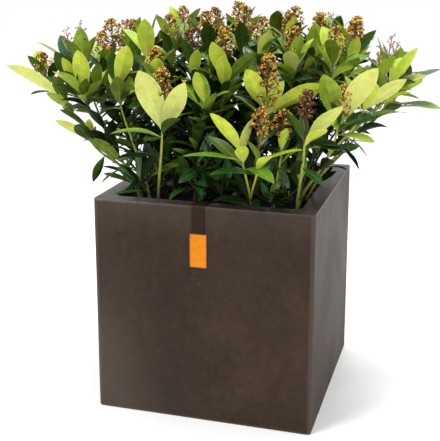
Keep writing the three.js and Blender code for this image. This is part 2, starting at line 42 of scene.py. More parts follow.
stemNodes = sorted(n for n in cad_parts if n.startswith("stem_"))
foliageNodes = sorted(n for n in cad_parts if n.startswith("foliage_"))
print("frame loaded,", len(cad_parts), "nodes")


def lerp(a, b, share):
    return a + (b - a) * share


# camera, light and floor

studio = {
    "cameraPlace": (0.4471, -1.6053, 0.8069),
    "azimuth": 16.33,
    "elevation": 12.46,
    "lens": 72.7,
    "shiftY": -0.136,
    "worldStrength": 1.04,
    "floorSize": 60,
    "floorTones": ((0.945, 0.945, 0.95), (0.965, 0.965, 0.965)),
}
areaLights = [
    # name, place, aimed at, size, watts
    ("keyLight", (-1.1, -1.7, 2.9), (0, 0, 0.5), 1.0, 56),
    ("sideLight", (2.4, -0.9, 1.6), (0, 0, 0.4), 1.2, 7),
    ("topLight", (0.3, 0.9, 2.8), (0, 0, 0.5), 0.9, 36),
]


def turnTo(item, direction):
    item.rotation_euler = Vector(direction).to_track_quat("-Z", "Y").to_euler()


def addCamera():
    bpy.ops.object.camera_add(location=studio["cameraPlace"])
    camera = bpy.context.object
    camera.name = "viewCamera"
    azimuth = math.radians(studio["azimuth"])
    elevation = math.radians(studio["elevation"])
    flat = math.cos(elevation)
    turnTo(camera, (-math.sin(azimuth) * flat, math.cos(azimuth) * flat, -math.sin(elevation)))
    camera.data.lens = studio["lens"]
    camera.data.shift_y = studio["shiftY"]
    scene.camera = camera


def addLights():
    for name, place, aim, size, watts in areaLights:
        bpy.ops.object.light_add(type="AREA", location=place)
        light = bpy.context.object
        light.name = name
        light.data.shape = "DISK"
        light.data.size = size
        light.data.energy = watts
        turnTo(light, Vector(aim) - Vector(place))
    world = bpy.data.worlds.new("studioWorld")
    scene.world = world
    world.use_nodes = True
    sky = world.node_tree.nodes["Background"]
    sky.inputs["Color"].default_value = (1, 1, 1, 1)
    sky.inputs["Strength"].default_value = studio["worldStrength"]


addCamera()
addLights()
print("camera and lights set")


# materials

def newMaterial(name, roughness, **sockets):
    material = bpy.data.materials.new(name)
    material.use_nodes = True
    shader = material.node_tree.nodes["Principled BSDF"]
    shader.inputs["Roughness"].default_value = roughness
    for socket, value in sockets.items():
        shader.inputs[socket.replace("_", " ")].default_value = value
    return material, material.node_tree, shader


def addNode(tree, kind, **inputs):
    node = tree.nodes.new(kind)
    for socket, value in inputs.items():
        node.inputs[socket].default_value = value
    return node


def plug(tree, value, socket):
    # a value is another node's output, a number or a colour
    if isinstance(value, bpy.types.NodeSocket):
        tree.links.new(value, socket)
    else:
        socket.default_value = (*value, 1) if isinstance(value, tuple) else value


def splitPlace(tree, kind):
    # a place on the piece, taken apart into X, Y and Z
    split = tree.nodes.new("ShaderNodeSeparateXYZ")
    tree.links.new(tree.nodes.new("ShaderNodeTexCoord").outputs[kind], split.inputs["Vector"])
    return split.outputs


def objectNoise(tree, scale, detail=4.0, stretch=(1, 1, 1), rough=0.55):
    place = tree.nodes.new("ShaderNodeTexCoord")
    mapping = tree.nodes.new("ShaderNodeMapping")
    mapping.inputs["Scale"].default_value = stretch
    noise = addNode(tree, "ShaderNodeTexNoise", Scale=scale, Detail=detail, Roughness=rough)
    tree.links.new(place.outputs["Object"], mapping.inputs["Vector"])
    tree.links.new(mapping.outputs["Vector"], noise.inputs["Vector"])
    return noise.outputs["Fac"]


def colourRamp(tree, value, stops):
    ramp = tree.nodes.new("ShaderNodeValToRGB")
    elements = ramp.color_ramp.elements
    while len(elements) < len(stops):
        elements.new(0.5)
    for element, (place, colour) in zip(elements, stops):
        element.position = place
        element.color = (*colour, 1)
    tree.links.new(value, ramp.inputs["Fac"])
    return ramp.outputs["Color"]


def grey(level):
    return level, level, level


def greyRamp(tree, value, *stops):
    return colourRamp(tree, value, [(place, grey(level)) for place, level in stops])


def mixColours(tree, factor, first, second, mode="MIX"):
    mix = tree.nodes.new("ShaderNodeMix")
    mix.data_type = "RGBA"
    mix.blend_type = mode
    for number, value in ((0, factor), (6, first), (7, second)):  # the sockets of a mix of two colours
        plug(tree, value, mix.inputs[number])
    return mix.outputs[2]


def calculate(tree, operation, *values):
    node = tree.nodes.new("ShaderNodeMath")
    node.operation = operation
    for value, socket in zip(values, node.inputs):
        plug(tree, value, socket)
    return node.outputs[0]


def addBump(tree, shader, height, strength, distance):
    bump = addNode(tree, "ShaderNodeBump", Strength=strength, Distance=distance)
    tree.links.new(height, bump.inputs["Height"])
    tree.links.new(bump.outputs["Normal"], shader.inputs["Normal"])


def shade(colour, share):
    return tuple(min(1.0, part * share) for part in colour)


leafTints = {
    # upper side, under side, midrib, roughness and sheen of the upper side
    "pale": ((0.42, 0.51, 0.09), (0.57, 0.605, 0.14), (0.72, 0.75, 0.29), 0.42, 0.35),
    "lime": ((0.33, 0.48, 0.022), (0.49, 0.585, 0.05), (0.66, 0.71, 0.16), 0.36, 0.38),
    "fresh": ((0.105, 0.255, 0.010), (0.24, 0.34, 0.030), (0.40, 0.50, 0.10), 0.32, 0.38),
    "olive": ((0.050, 0.098, 0.005), (0.12, 0.175, 0.014), (0.24, 0.29, 0.05), 0.32, 0.32),
    "deep": ((0.008, 0.056, 0.006), (0.034, 0.074, 0.007), (0.09, 0.16, 0.03), 0.24, 0.38),
    "dark": ((0.003, 0.012, 0.0015), (0.008, 0.018, 0.0025), (0.022, 0.045, 0.009), 0.3, 0.18),
}
leafLook = {
    "mottle": {"pale": 0.14, "lime": 0.2, "fresh": 0.3, "olive": 0.35, "deep": 0.4, "dark": 0.4},
    "patchScale": 70,
    "underSide": (0.6, 0.12),  # roughness and sheen
    "midribSide": (0.5, 0.2),
    "paleBase": 0.42,  # how far along the leaf its paler base reaches
    "thinEdge": (0.88, 0.96),  # where the pale edge starts and is full, across the leaf
    "veinSlant": 0.16,
    "veinRate": 44.0,
    "veinFineness": 12.0,
    "veinStrength": 0.2,
    "bump": (0.4, 0.0008),
}


def leafMaterials(tint):
    upper, under, midrib, *finish = leafTints[tint]
    uneven = leafLook["mottle"][tint]
    sides = (("upper", upper, finish), ("under", under, leafLook["underSide"]))
    made = []
    for side, colour, (roughness, sheen) in sides:
        material, tree, shader = newMaterial(f"leaf_{tint}_{side}", roughness, Specular_IOR_Level=sheen)
        patches = objectNoise(tree, leafLook["patchScale"])
        body = colourRamp(tree, patches, [
            (0.3, shade(colour, 1 - uneven)), (0.5, colour), (0.72, shade(colour, 1 + uneven * 0.8))])
        # u runs along the leaf and v across it; the base is paler, and so is the thin edge
        place = splitPlace(tree, "UV")
        across = calculate(tree, "ABSOLUTE", place["Y"])
        base = greyRamp(tree, place["X"], (0.0, 0.7), (leafLook["paleBase"], 0))
        body = mixColours(tree, base, body, shade(midrib, 0.85))
        thinStart, thinFull = leafLook["thinEdge"]
        body = mixColours(tree, greyRamp(tree, across, (thinStart, 0), (thinFull, 0.55)), body, midrib)
        # side veins slant from the midrib to the edge
        slant = calculate(tree, "MULTIPLY", across, leafLook["veinSlant"])
        slant = calculate(tree, "SUBTRACT", place["X"], slant)
        wave = calculate(tree, "SINE", calculate(tree, "MULTIPLY", slant, leafLook["veinRate"]))
        vein = calculate(tree, "POWER", calculate(tree, "ABSOLUTE", wave), leafLook["veinFineness"])
        veined = mixColours(tree, calculate(tree, "MULTIPLY", vein, leafLook["veinStrength"]), body, midrib)
        tree.links.new(veined, shader.inputs["Base Color"])
        addBump(tree, shader, calculate(tree, "ADD", vein, patches), *leafLook["bump"])
        made.append(material)
    roughness, sheen = leafLook["midribSide"]
    material, tree, shader = newMaterial(f"leaf_{tint}_midrib", roughness, Specular_IOR_Level=sheen)
    ribbed = colourRamp(tree, objectNoise(tree, 140), [(0.3, shade(midrib, 0.8)), (0.7, midrib)])
    tree.links.new(ribbed, shader.inputs["Base Color"])
    return [*made, material]


def speckledMaterial(name, dark, light, roughness, scale, bump=0.3, depth=0.0005, **sockets):
    material, tree, shader = newMaterial(name, roughness, **sockets)
    noise = objectNoise(tree, scale)
    tree.links.new(colourRamp(tree, noise, [(0.34, dark), (0.66, light)]), shader.inputs["Base Color"])
    addBump(tree, shader, noise, bump, depth)
    return material


# meshes made from arrays

def tubeArrays(points, radii, sides):
    # a tube along a run of points, each ring square to the run
    points = np.asarray(points, float)
    radii = np.asarray(radii, float)
    if radii.ndim == 1:
        radii = np.repeat(radii[:, None], sides, axis=1)
    along = np.gradient(points, axis=0)
    along /= np.linalg.norm(along, axis=1)[:, None]
    whole = points[-1] - points[0]
    whole /= np.linalg.norm(whole)
    reference = np.array([1.0, 0, 0]) if abs(whole[0]) < 0.8 else np.array([0, 1.0, 0])
    side = reference - along * (along @ reference)[:, None]
    side /= np.linalg.norm(side, axis=1)[:, None]
    other = np.cross(along, side)
    angle = 2 * np.pi * np.arange(sides) / sides
    ring = np.cos(angle)[None, :, None] * side[:, None] + np.sin(angle)[None, :, None] * other[:, None]
    verts = (points[:, None] + ring * radii[..., None]).reshape(-1, 3)
    step = np.arange(len(points) - 1)[:, None] * sides
    k = np.arange(sides)[None]
    nextK = (k + 1) % sides
    quads = np.stack([step + k, step + nextK, step + sides + nextK, step + sides + k], -1).reshape(-1, 4)
    last = (len(points) - 1) * sides
    tris = []
    for j in range(1, sides - 1):
        tris += [(0, j + 1, j), (last, last + j, last + j + 1)]
    return verts, quads, np.array(tris)


def tubePart(points, radii, sides, look=0):
    return (*tubeArrays(points, radii, sides), look, look, None)


def joinArrays(parts):
    # each part is verts, quads, tris, quad materials, tri materials, uv or None
    count = 0
    joined = [[], [], [], [], [], []]
    for verts, quads, tris, quadMaterials, triMaterials, uv in parts:
        joined[0].append(verts)
        joined[1].append(np.asarray(quads, int).reshape(-1, 4) + count)
        joined[2].append(np.asarray(tris, int).reshape(-1, 3) + count)
        joined[3].append(np.broadcast_to(quadMaterials, len(quads)))
        joined[4].append(np.broadcast_to(triMaterials, len(tris)))
        joined[5].append(np.zeros((len(verts), 2)) if uv is None else uv)
        count += len(verts)
    return [np.concatenate(part) for part in joined]


def makePiece(name, parts, materials, sharpAngle=None):
    verts, quads, tris, quadMaterials, triMaterials, uv = joinArrays(parts)
    mesh = bpy.data.meshes.new(name)
    mesh.vertices.add(len(verts))
    mesh.vertices.foreach_set("co", (verts * mm).astype(np.float32).ravel())
    corners = np.concatenate([quads.ravel(), tris.ravel()])
    mesh.loops.add(len(corners))
    mesh.loops.foreach_set("vertex_index", corners.astype(np.int32))
    starts = np.concatenate([np.arange(len(quads)) * 4, len(quads) * 4 + np.arange(len(tris)) * 3])
    mesh.polygons.add(len(starts))
    mesh.polygons.foreach_set("loop_start", starts.astype(np.int32))
    faceMaterials = np.concatenate([quadMaterials, triMaterials])
    mesh.polygons.foreach_set("material_index", faceMaterials.astype(np.int32))
    mesh.polygons.foreach_set("use_smooth", np.ones(len(starts), bool))
    layer = mesh.uv_layers.new(name="leafUv")
    layer.data.foreach_set("uv", uv[corners].astype(np.float32).ravel())
    for material in materials:
        mesh.materials.append(material)
    mesh.update(calc_edges=True)
    mesh.validate()
    if sharpAngle:
        mesh.set_sharp_from_angle(angle=math.radians(sharpAngle))
    piece = bpy.data.objects.new(name, mesh)
    scene.collection.objects.link(piece)
    print(f"{name}: {2 * len(quads) + len(tris)} triangles")
    return piece


def settle(piece, nodes):
    # every piece of this part rides on its one body
    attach(piece, "root")
    if nodes:
        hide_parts(*nodes)


# the growth rule, the same as the solids'

pot = {
    "side": 400,
    "height": 400,
    "wall": 30,
    "base": 24,
    "cornerRound": 6,
    "edgeRound": 4,
    "footRound": 3,
    "mouthRound": 3,
    "innerRound": 14,
    "border": 3,
}
soilTop = 385
gap = 0.3
stemSize = {"foot": 4, "flare": 1.8, "flareRise": 7}
crown = {
    "forkShare": 0.55,
    "bareShare": 0.74,
    "loneBareShare": 0.66,
    "pull": 0.35,
    "footLean": 0.45,
    "forkUpright": 0.2,
    "branchOff": 0.5,
    "headUpright": 0.5,
}
goldenTurn = 137.5
fineSteps = {"twig": 40, "bare": 60}
slimness = 0.37
leafWidths = ((0.4, 0.43), (0.74, 0.42))
probeRuns = (0.45, 0.75, 1.0)
spineRuns = (0.4, 0.7, 1.0)
youngWhorl = {
    "count": 6,
    "length": 88,
    "lengthRange": (0.84, 1.14),
    "roots": (0.73, 0.94),
    "open": (62, 26),
    "openSpread": 14,
    "turnSpread": 24,
    "bend": (0.3, 0.8),
}
oldWhorl = {
    "count": 4,
    "length": 84,
    "lengthRange": (0.8, 1.14),
    "roots": (0.1, 0.8),
    "loneRoots": (0.1, 0.5),
    "open": 68,
    "openSpread": 26,
    "turnSpread": 30,
    "bend": (0.6, 1.2),
}
leadLeaf = {"root": 0.97, "rootStep": 0.05, "bend": 0.35}
panicle = {"rise": 24, "height": 42, "upright": 0.5, "radius": 14, "sunk": 3}
space = {
    "margin": 1,
    "tries": 5,
    "steeper": 0.15,
    "shorter": 0.05,
    "swing": 18,
    "overPot": 3,
    "offWall": 6,
    "besideStem": 3,
    "besideLeaf": 11.5,
}


def headAt(place, blossom="none", leads=(), **habit):
    return {"at": place, "blossom": blossom, "leads": leads, **habit}


def stemAt(foot, heads, fill=1, low=1, inner=1, bark="dark", **habit):
    return {"foot": foot, "heads": heads, "fill": fill, "low": low, "inner": inner, "bark": bark, **habit}


# Stems listed one by one: the foot on the soil, and the heads at the base of each panicle. A lead leaf is
# bearing, tilt from upright, length, roll, tint and, where given, the share of the shoot at its root;
# bearing 0 is +X and 90 is +Y. How thick the finer leaves stand on a stem: fill for its twigs, low for
# its foot and inner for its young whorls.
stems = [
    stemAt((-142, -112), oldLeaves=0, fill=0.15, low=0, inner=0.5, bark="green", heads=[
        headAt((-301, -80, 548), youngLeaves=2, leads=[(-168, 48, 136, 35, "pale")]),
        headAt((-362, -45, 590), "gold", rise=4, youngLeaves=0,
               leads=[(-172, 30, 60, 60, "deep"), (-60, 54, 46, 0, "olive"), (60, 48, 54, 0, "fresh")])]),
    stemAt((-136, -134), oldLeaves=0, fill=0.4, low=0.5, inner=1.7, bark="green", heads=[
        headAt((-256, -104, 570), youngLeaves=4, leads=[(-78, 14, 98, 0, "lime")]),
        headAt((-296, -66, 584), youngLeaves=4, leads=[(-120, 16, 62, 30, "lime")]),
        headAt((-306, 10, 614), "spent", rise=32, tall=52)]),
    stemAt((-114, -142), bare=0.36, oldLeaves=0, fill=0.3, low=0.9, inner=0.5, bark="green", heads=[
        headAt((-200, -80, 584), "gold", rise=66, tall=54,
               leads=[(-40, 28, 108, -30, "lime"), (-110, 128, 58, 0, "deep", 0.1),
                      (-10, 118, 52, -70, "dark", 0.06), (160, 112, 50, 70, "deep", 0.16)])]),
    stemAt((-96, -148), fill=0.1, low=0.15, inner=0.2, bark="bright", heads=[
        headAt((-71, -190, 528), "gold", rise=62, youngLeaves=3,
               leads=[(-126, 19, 124, 42, "pale"), (-14, 26, 110, -52, "pale")])]),
    stemAt((-88, -80), low=1.8, heads=[
        headAt((-113, -104, 592), "gold"),
        headAt((-158, -30, 628), leads=[(-74, 16, 96, 0, "lime")])]),
    stemAt((-150, -20), oldLeaves=3, fill=0.5, low=0.9, inner=1.8, heads=[
        headAt((-272, 34, 606), "gold"),
        headAt((-358, 62, 604), "spent", rise=30, tall=46, youngLeaves=5),
        headAt((-260, -26, 566), youngLeaves=4)]),
    stemAt((-84, 14), heads=[
        headAt((-196, 96, 634)),
        headAt((-130, 26, 642), "gold"),
        headAt((-126, 100, 652), "spent")]),
    stemAt((-30, -136), low=2.2, inner=0.8, heads=[
        headAt((-8, -140, 568), leads=[(-120, 18, 70, 40, "lime"), (-20, 16, 64, -50, "lime")]),
        headAt((-60, -52, 622), "dark", rise=24)]),
    stemAt((12, -96), low=2.0, inner=0.7, bark="green", heads=[
        headAt((14, -94, 606), "gold", rise=46,
               leads=[(-116, 22, 86, 35, "lime"), (0, 38, 84, -50, "olive")]),
        headAt((-50, 6, 650), "gold")]),
    stemAt((-32, 64), low=1.2, heads=[
        headAt((-56, 84, 654), "gold"),
        headAt((-26, 150, 646))]),
    stemAt((76, -148), fork=0.2, oldLeaves=2, fill=0, low=0.3, inner=0.1, bark="bright", heads=[
        headAt((74, -200, 496), youngLeaves=2,
               leads=[(-144, 28, 98, 20, "lime"), (-106, 20, 92, 30, "pale"), (-166, 76, 104, 0, "fresh"),
                      (-80, 42, 66, 0, "lime")]),
        headAt((104, -206, 488), "gold", rise=46, youngLeaves=3, leads=[(6, 62, 78, 0, "lime")])]),
    stemAt((58, -96), bare=0.2, fill=0.9, low=1.9, inner=0.4, bark="green", heads=[
        headAt((104, -160, 568), "gold", rise=6, tall=84,
               leads=[(-128, 26, 92, 45, "lime"), (12, 54, 116, -45, "lime")])]),
    stemAt((22, -24), low=1.8, heads=[
        headAt((10, 50, 646), "gold", tall=56),
        headAt((58, -6, 642), "gold"),
        headAt((66, -84, 620))]),
    stemAt((94, -20), low=1.3, heads=[
        headAt((92, 76, 646), "gold"),
        headAt((128, -56, 630), "gold"),
        headAt((140, 8, 638))]),
    stemAt((112, -130), bare=0.2, fill=0.6, low=1.7, inner=0.4, bark="bright", heads=[
        headAt((134, -168, 502), "gold", rise=22, youngLeaves=4, leads=[(-64, 24, 54, 0, "lime")])]),
    stemAt((158, -148), fill=0.15, low=0.25, inner=0.3, bark="bright", heads=[
        headAt((177, -186, 522), "dark", rise=40, youngLeaves=4,
               leads=[(0, 38, 92, -50, "pale"), (-150, 24, 66, 30, "deep")])]),
    stemAt((150, -96), oldLeaves=2, fill=0.1, low=0.1, inner=0.5, bark="bright", heads=[
        headAt((226, -140, 546), "gold", rise=18,
               leads=[(-150, 26, 108, 55, "fresh"), (-4, 26, 124, -50, "pale")]),
        headAt((262, -100, 566), youngLeaves=3,
               leads=[(10, 44, 90, -50, "pale"), (8, 132, 58, -28, "dark", 0.3),
                      (14, 84, 60, -15, "deep", 0.36)])]),
    stemAt((92, 62), low=1.2, heads=[
        headAt((154, 48, 648), "gold"),
        headAt((160, 118, 650), "spent"),
        headAt((212, 84, 640), "gold")]),
    stemAt((140, -30), fill=0.9, low=1.1, heads=[
        headAt((222, 14, 638), "gold"),
        headAt((200, -66, 632), "gold")]),
    stemAt((158, -52), oldLeaves=0, fill=0.05, low=0.1, inner=0.6, bark="green", heads=[
        headAt((298, -10, 592), youngLeaves=4, leads=[(14, 23, 88, -55, "lime")]),
        headAt((266, 30, 602), "spent", rise=20, tall=36, youngLeaves=5)]),
    stemAt((156, 34), oldLeaves=0, fill=0.05, low=0.0, inner=0.6, bark="green", heads=[
        headAt((304, 84, 576), youngLeaves=4, leads=[(28, 54, 92, 0, "deep")]),
        headAt((286, 96, 600), "spent", rise=24, tall=38, youngLeaves=4),
        headAt((278, 36, 546), youngLeaves=2, leads=[(-4, 72, 72, 0, "dark")])]),
    stemAt((-146, -72), fill=0.1, low=0, inner=0.2, bark="green", heads=[
        headAt((-254, -96, 490), youngLeaves=2,
               leads=[(-168, 58, 70, 72, "pale"), (-60, 20, 48, 0, "lime"), (-150, 34, 46, 40, "lime"),
                      (-158, 152, 56, 75, "deep", 0.08)])]),
    stemAt((-146, 72), fill=0.6, low=0.9, inner=1.6, heads=[
        headAt((-244, 132, 624), "gold"),
        headAt((-292, 152, 570)),
        headAt((-236, 96, 524), youngLeaves=3)]),
]
backRow = {
    "count": 5,
    "footReach": 128,
    "footY": 124,
    "headReach": 232,
    "fan": ((-34, 178, 620, "gold"), (36, 202, 606, "spent"), (4, 262, 552, "none")),
    "lift": 42,
    "bow": 24,
    "oldLeaves": (4, 1),  # these last three in the middle and at the ends
    "fill": (1.7, 0.5),
    "low": (1.4, 0.3),
}
for i in range(backRow["count"]):
    across = 2 * i / (backRow["count"] - 1) - 1
    lift = backRow["lift"] * (1 - across * across)
    heads = []
    for aside, y, z, blossom in backRow["fan"]:
        x = across * backRow["headReach"] + aside
        heads.append(headAt((x, y - backRow["bow"] * across * across, z + lift), blossom))
    foot = (across * backRow["footReach"], backRow["footY"])
    oldLeaves, fill, low = (lerp(*backRow[key], across * across) for key in ("oldLeaves", "fill", "low"))
    stems.append(stemAt(foot, heads, fill, low, oldLeaves=int(oldLeaves + 0.5)))

seeds = {
    "mainLeaves": 101,
    "mainTints": 701,
    "finerLeaves": 1301,
    "stems": 50,
    "twigs": 90,
    "panicles": 400,
    "soil": 7,
    "crumbs": 23,
}
drawRule = {"first": 2654435761, "times": 1664525, "plus": 1013904223, "span": 2 ** 32}


def seededDraws(seed):
    state = seed * drawRule["first"] % drawRule["span"]
    while True:
        state = (state * drawRule["times"] + drawRule["plus"]) % drawRule["span"]
        yield state / drawRule["span"]


def unit(v):
    return v / np.linalg.norm(v)


def mixed(a, b, share):
    return unit(lerp(a, b, share))


def sweep(start, leaving, end, arriving):
    # the four points of a smooth run
    pull = crown["pull"] * np.linalg.norm(end - start)
    return np.array([start, start + leaving * pull, end - arriving * pull, end])


def alongSweep(run, shares):
    t = np.asarray(shares, float)[:, None]
    a, b, c, d = run
    return (1 - t) ** 3 * a + 3 * t * (1 - t) ** 2 * b + 3 * t * t * (1 - t) * c + t ** 3 * d


def outward(axis, bearing):
    out = np.array([math.cos(bearing), math.sin(bearing), 0])
    return unit(out - axis * (out @ axis))


def outFrom(axis, bearing, openAngle):
    return axis * math.cos(openAngle) + outward(axis, bearing) * math.sin(openAngle)


def travelled(points):
    # the way along a run of points to each of them
    steps = np.linalg.norm(np.diff(points, axis=0), axis=1)
    return np.concatenate([[0], np.cumsum(steps)])


def pointOn(points, share):
    reached = travelled(points)
    return np.array([np.interp(share * reached[-1], reached, points[:, axis]) for axis in range(3)])


def planStem(stem):
    start = np.array([*stem["foot"], soilTop + gap], float)
    tips = [np.array(head["at"], float) for head in stem["heads"]]
    middle = sum(tips) / len(tips)
    lone = len(tips) == 1
    knee = lerp(start, middle, 1 if lone else stem.get("fork", crown["forkShare"]))
    lean = unit(middle - start)
    reach = np.linalg.norm(knee - start)
    upright = crown["headUpright"] if lone else crown["forkUpright"]
    main = sweep(start, mixed(up, lean, crown["footLean"]), knee, mixed(lean, up, upright))
    bareShare = stem.get("bare", crown["loneBareShare"] if lone else crown["bareShare"])
    flareShare = stemSize["flareRise"] / reach
    twigStart = bareShare + 2 * gap / reach
    twig = alongSweep(main, [twigStart, (twigStart + 1) / 2, 1])
    fineTwig = alongSweep(main, np.linspace(bareShare, 1, fineSteps["twig"]))
    shoots = []
    for head, tip in zip(stem["heads"], tips):
        aim = mixed(unit(tip - start), up, crown["headUpright"])
        run, fineRun = twig, fineTwig
        if not lone:
            branch = sweep(knee, mixed(lean, unit(tip - knee), crown["branchOff"]), tip, aim)
            run = alongSweep(branch, [0, 0.5, 1])
            fineRun = alongSweep(branch, np.linspace(0, 1, fineSteps["twig"]))
        shoots.append({**head, "tip": tip, "aim": aim, "run": run, "fineRun": fineRun})
    return {
        **stem,
        "lean": lean,
        "lone": lone,
        "twig": twig,
        "fineTwig": fineTwig,
        "shoots": shoots,
        "bare": alongSweep(main, [0, flareShare, (flareShare + bareShare) / 2, bareShare]),
        "fineBare": alongSweep(main, np.linspace(0, bareShare, fineSteps["bare"])),
        "oldLeaves": stem.get("oldLeaves", 0 if lone and "bare" not in stem else oldWhorl["count"]),
    }


def panicleTop(shoot):
    tall = shoot.get("tall", panicle["height"])
    axis = mixed(shoot["aim"], up, panicle["upright"])
    rise = shoot.get("rise", panicle["rise"])
    return axis, tall, shoot["tip"] + axis * rise, shoot["tip"] + axis * (rise + tall)


def leadLeaves(shoot):
    # each lead leaf with the share of the shoot at its root
    for k, (bearing, tilt, length, roll, tint, *root) in enumerate(shoot["leads"]):
        share = root[0] if root else leadLeaf["root"] - leadLeaf["rootStep"] * k
        yield share, bearing, tilt, length, roll, tint


def layLeaf(root, along, face, length, bend):
    side = unit(np.cross(along, face))

    def spine(t):
        turn = bend * np.asarray(t, float)[..., None]
        return root + along * (length * np.sin(turn) / bend) - face * (length * (1 - np.cos(turn)) / bend)

    def edge(t, half):
        return spine(t) + side * half * length * slimness
    return spine, edge


def aimLeaf(root, axis, bearing, openAngle, length, bend, roll=0):
    # a leaf turned to a bearing round an axis and opened from it
    out = outward(axis, bearing)
    along = axis * math.cos(openAngle) + out * math.sin(openAngle)
    face = axis * math.sin(openAngle) - out * math.cos(openAngle)
    roll = math.radians(roll)
    face = face * math.cos(roll) + np.cross(along, face) * math.sin(roll)
    return along, face, *layLeaf(root, along, face, length, bend)


plans = [planStem(stem) for stem in stems]

# every mass's own lines as short straight pieces, with the mass each belongs to
lineStarts, lineEnds, lineOwner, lineIsStem = [], [], [], []


def addLine(points, owner, isStem=False):
    for a, b in zip(points[:-1], points[1:]):
        lineStarts.append(a)
        lineEnds.append(b)
        lineOwner.append(owner)
        lineIsStem.append(isStem)


for index, plan in enumerate(plans):
    addLine(plan["bare"], index, True)
    addLine(np.array([plan["bare"][-1], *plan["twig"]]), index)
    for shoot in plan["shoots"]:
        if not plan["lone"]:
            addLine(shoot["run"], index)
        if shoot["blossom"] != "none":
            addLine(np.array([shoot["tip"], panicleTop(shoot)[-1]]), index)
        for share, bearing, tilt, length, roll, _ in leadLeaves(shoot):
            root = pointOn(shoot["run"], share)
            spine = aimLeaf(root, up, *np.radians([bearing, tilt]), length, leadLeaf["bend"], roll)[2]
            addLine(np.array([root, *spine(spineRuns)]), index)
lineStarts, lineEnds = np.array(lineStarts), np.array(lineEnds)
lineOwner, lineIsStem = np.array(lineOwner), np.array(lineIsStem)


def distances(points, starts, ends):
    # from each point to each straight piece
    span = ends - starts
    share = ((points[:, None] - starts) * span).sum(-1) / np.maximum((span ** 2).sum(-1), 1e-9)
    nearest = starts + np.clip(share, 0, 1)[..., None] * span
    return np.linalg.norm(points[:, None] - nearest, axis=-1)


def inOwnSpace(points, index, margin, lowest):
    beyond = np.abs(points[:, :2]).max(1) - pot["side"] / 2
    overRim = pot["height"] + space["overPot"]
    floorHere = np.where(beyond < -pot["wall"] - space["offWall"], lowest["mouth"], overRim)
    funnel = lowest["beside"] + lowest["rise"] * np.sqrt(np.maximum(beyond, 0))
    floorHere = np.where(beyond > space["overPot"], funnel, floorHere)
    if (points[:, 2] < floorHere).any():
        return False
    away = distances(points, lineStarts, lineEnds)
    own = lineOwner == index
    if (away[:, own & lineIsStem] < stemSize["foot"] + space["besideStem"]).any():
        return False
    return bool((away[:, ~own].min(1) > away[:, own].min(1) + margin).all())


# how low leaves may reach: main ones keep to the solids' space, and finer ones hang lower in the pot's
# mouth and keep inside a funnel past its rim
solidFloor = {"beside": -1e9, "rise": 0, "mouth": pot["height"] + space["overPot"]}
mouthFloor = {"beside": 392, "rise": 12, "mouth": soilTop + 5}


class PlacedLeaves:
    # the spines of the leaves laid so far
    def __init__(self, room=12000):
        self.starts = np.zeros((room, 3))
        self.ends = np.zeros((room, 3))
        self.count = 0

    def add(self, points):
        steps = len(points) - 1
        self.starts[self.count:self.count + steps] = points[:-1]
        self.ends[self.count:self.count + steps] = points[1:]
        self.count += steps

    def tooNear(self, probes, apart):
        if not self.count:
            return False
        return distances(probes, self.starts[:self.count], self.ends[:self.count]).min() <= apart


def growLeaf(index, run, fineRun, share, axis, bearing, openAngle, length, bend, tint, placed, rule,
             slim, roll=0):
    # tried steeper, shorter and turned aside where it would not fit, then skipped
    root = pointOn(run, share)
    for attempt in range(space["tries"]):
        opened = math.radians(openAngle) * (1 - space["steeper"] * attempt)
        turned = math.radians(bearing) + math.radians(space["swing"]) * attempt * (1 if attempt % 2 else -1)
        thisLength = length * (1 - space["shorter"] * attempt)
        along, face, spine, edge = aimLeaf(root, axis, turned, opened, thisLength, bend, roll)
        edges = [edge(t, half * sign) for t, half in leafWidths for sign in (1, -1)]
        probes = np.array([*spine(probeRuns), *edges])
        if not inOwnSpace(probes, index, rule["margin"], rule["lowest"]):
            continue
        if placed.tooNear(probes, rule["beside"]):
            continue
        placed.add(spine(spineRuns))
        leaves.append({
            "root": pointOn(fineRun, share), "along": along, "face": face, "length": thisLength,
            "bend": bend, "tint": tint, "slim": slim,
        })
        return


def spread(draws, width):
    return width * (next(draws) - 0.5)


def within(draws, ends):
    return lerp(*ends, next(draws))


def pickTint(draws, weights):
    left = next(draws) * sum(weights.values())
    for tint, weight in weights.items():
        left -= weight
        if left <= 0:
            return tint
    return tint


tintWeights = {
    "young": {"pale": 0.12, "lime": 0.36, "fresh": 0.24, "olive": 0.07, "deep": 0.21},
    "inner": {"lime": 0.20, "fresh": 0.30, "olive": 0.18, "deep": 0.32},
    "branch": {"fresh": 0.06, "olive": 0.14, "deep": 0.42, "dark": 0.38},
    "old": {"olive": 0.08, "deep": 0.36, "dark": 0.56},
    "low": {"fresh": 0.03, "olive": 0.09, "deep": 0.36, "dark": 0.52},
}
mainSlim = {"lead": (0.8, 0.95), "young": (0.8, 1.0), "old": (0.55, 0.8)}
mainRule = {"margin": space["margin"], "beside": space["besideLeaf"], "lowest": solidFloor}
fineRule = {"margin": -18, "beside": 4.0, "lowest": mouthFloor}
sprayRule = {
    # side twigs low on a full stem; their last stations keep off the masses beside them
    "twigs": 3,
    "roots": (0.12, 0.62),
    "length": (34, 62),
    "tilt": (35, 75),
    "stations": 9,
    "freeStations": 3,
    "margin": -60,
    "tipUpright": 0.5,
    "leafUpright": 0.4,
}
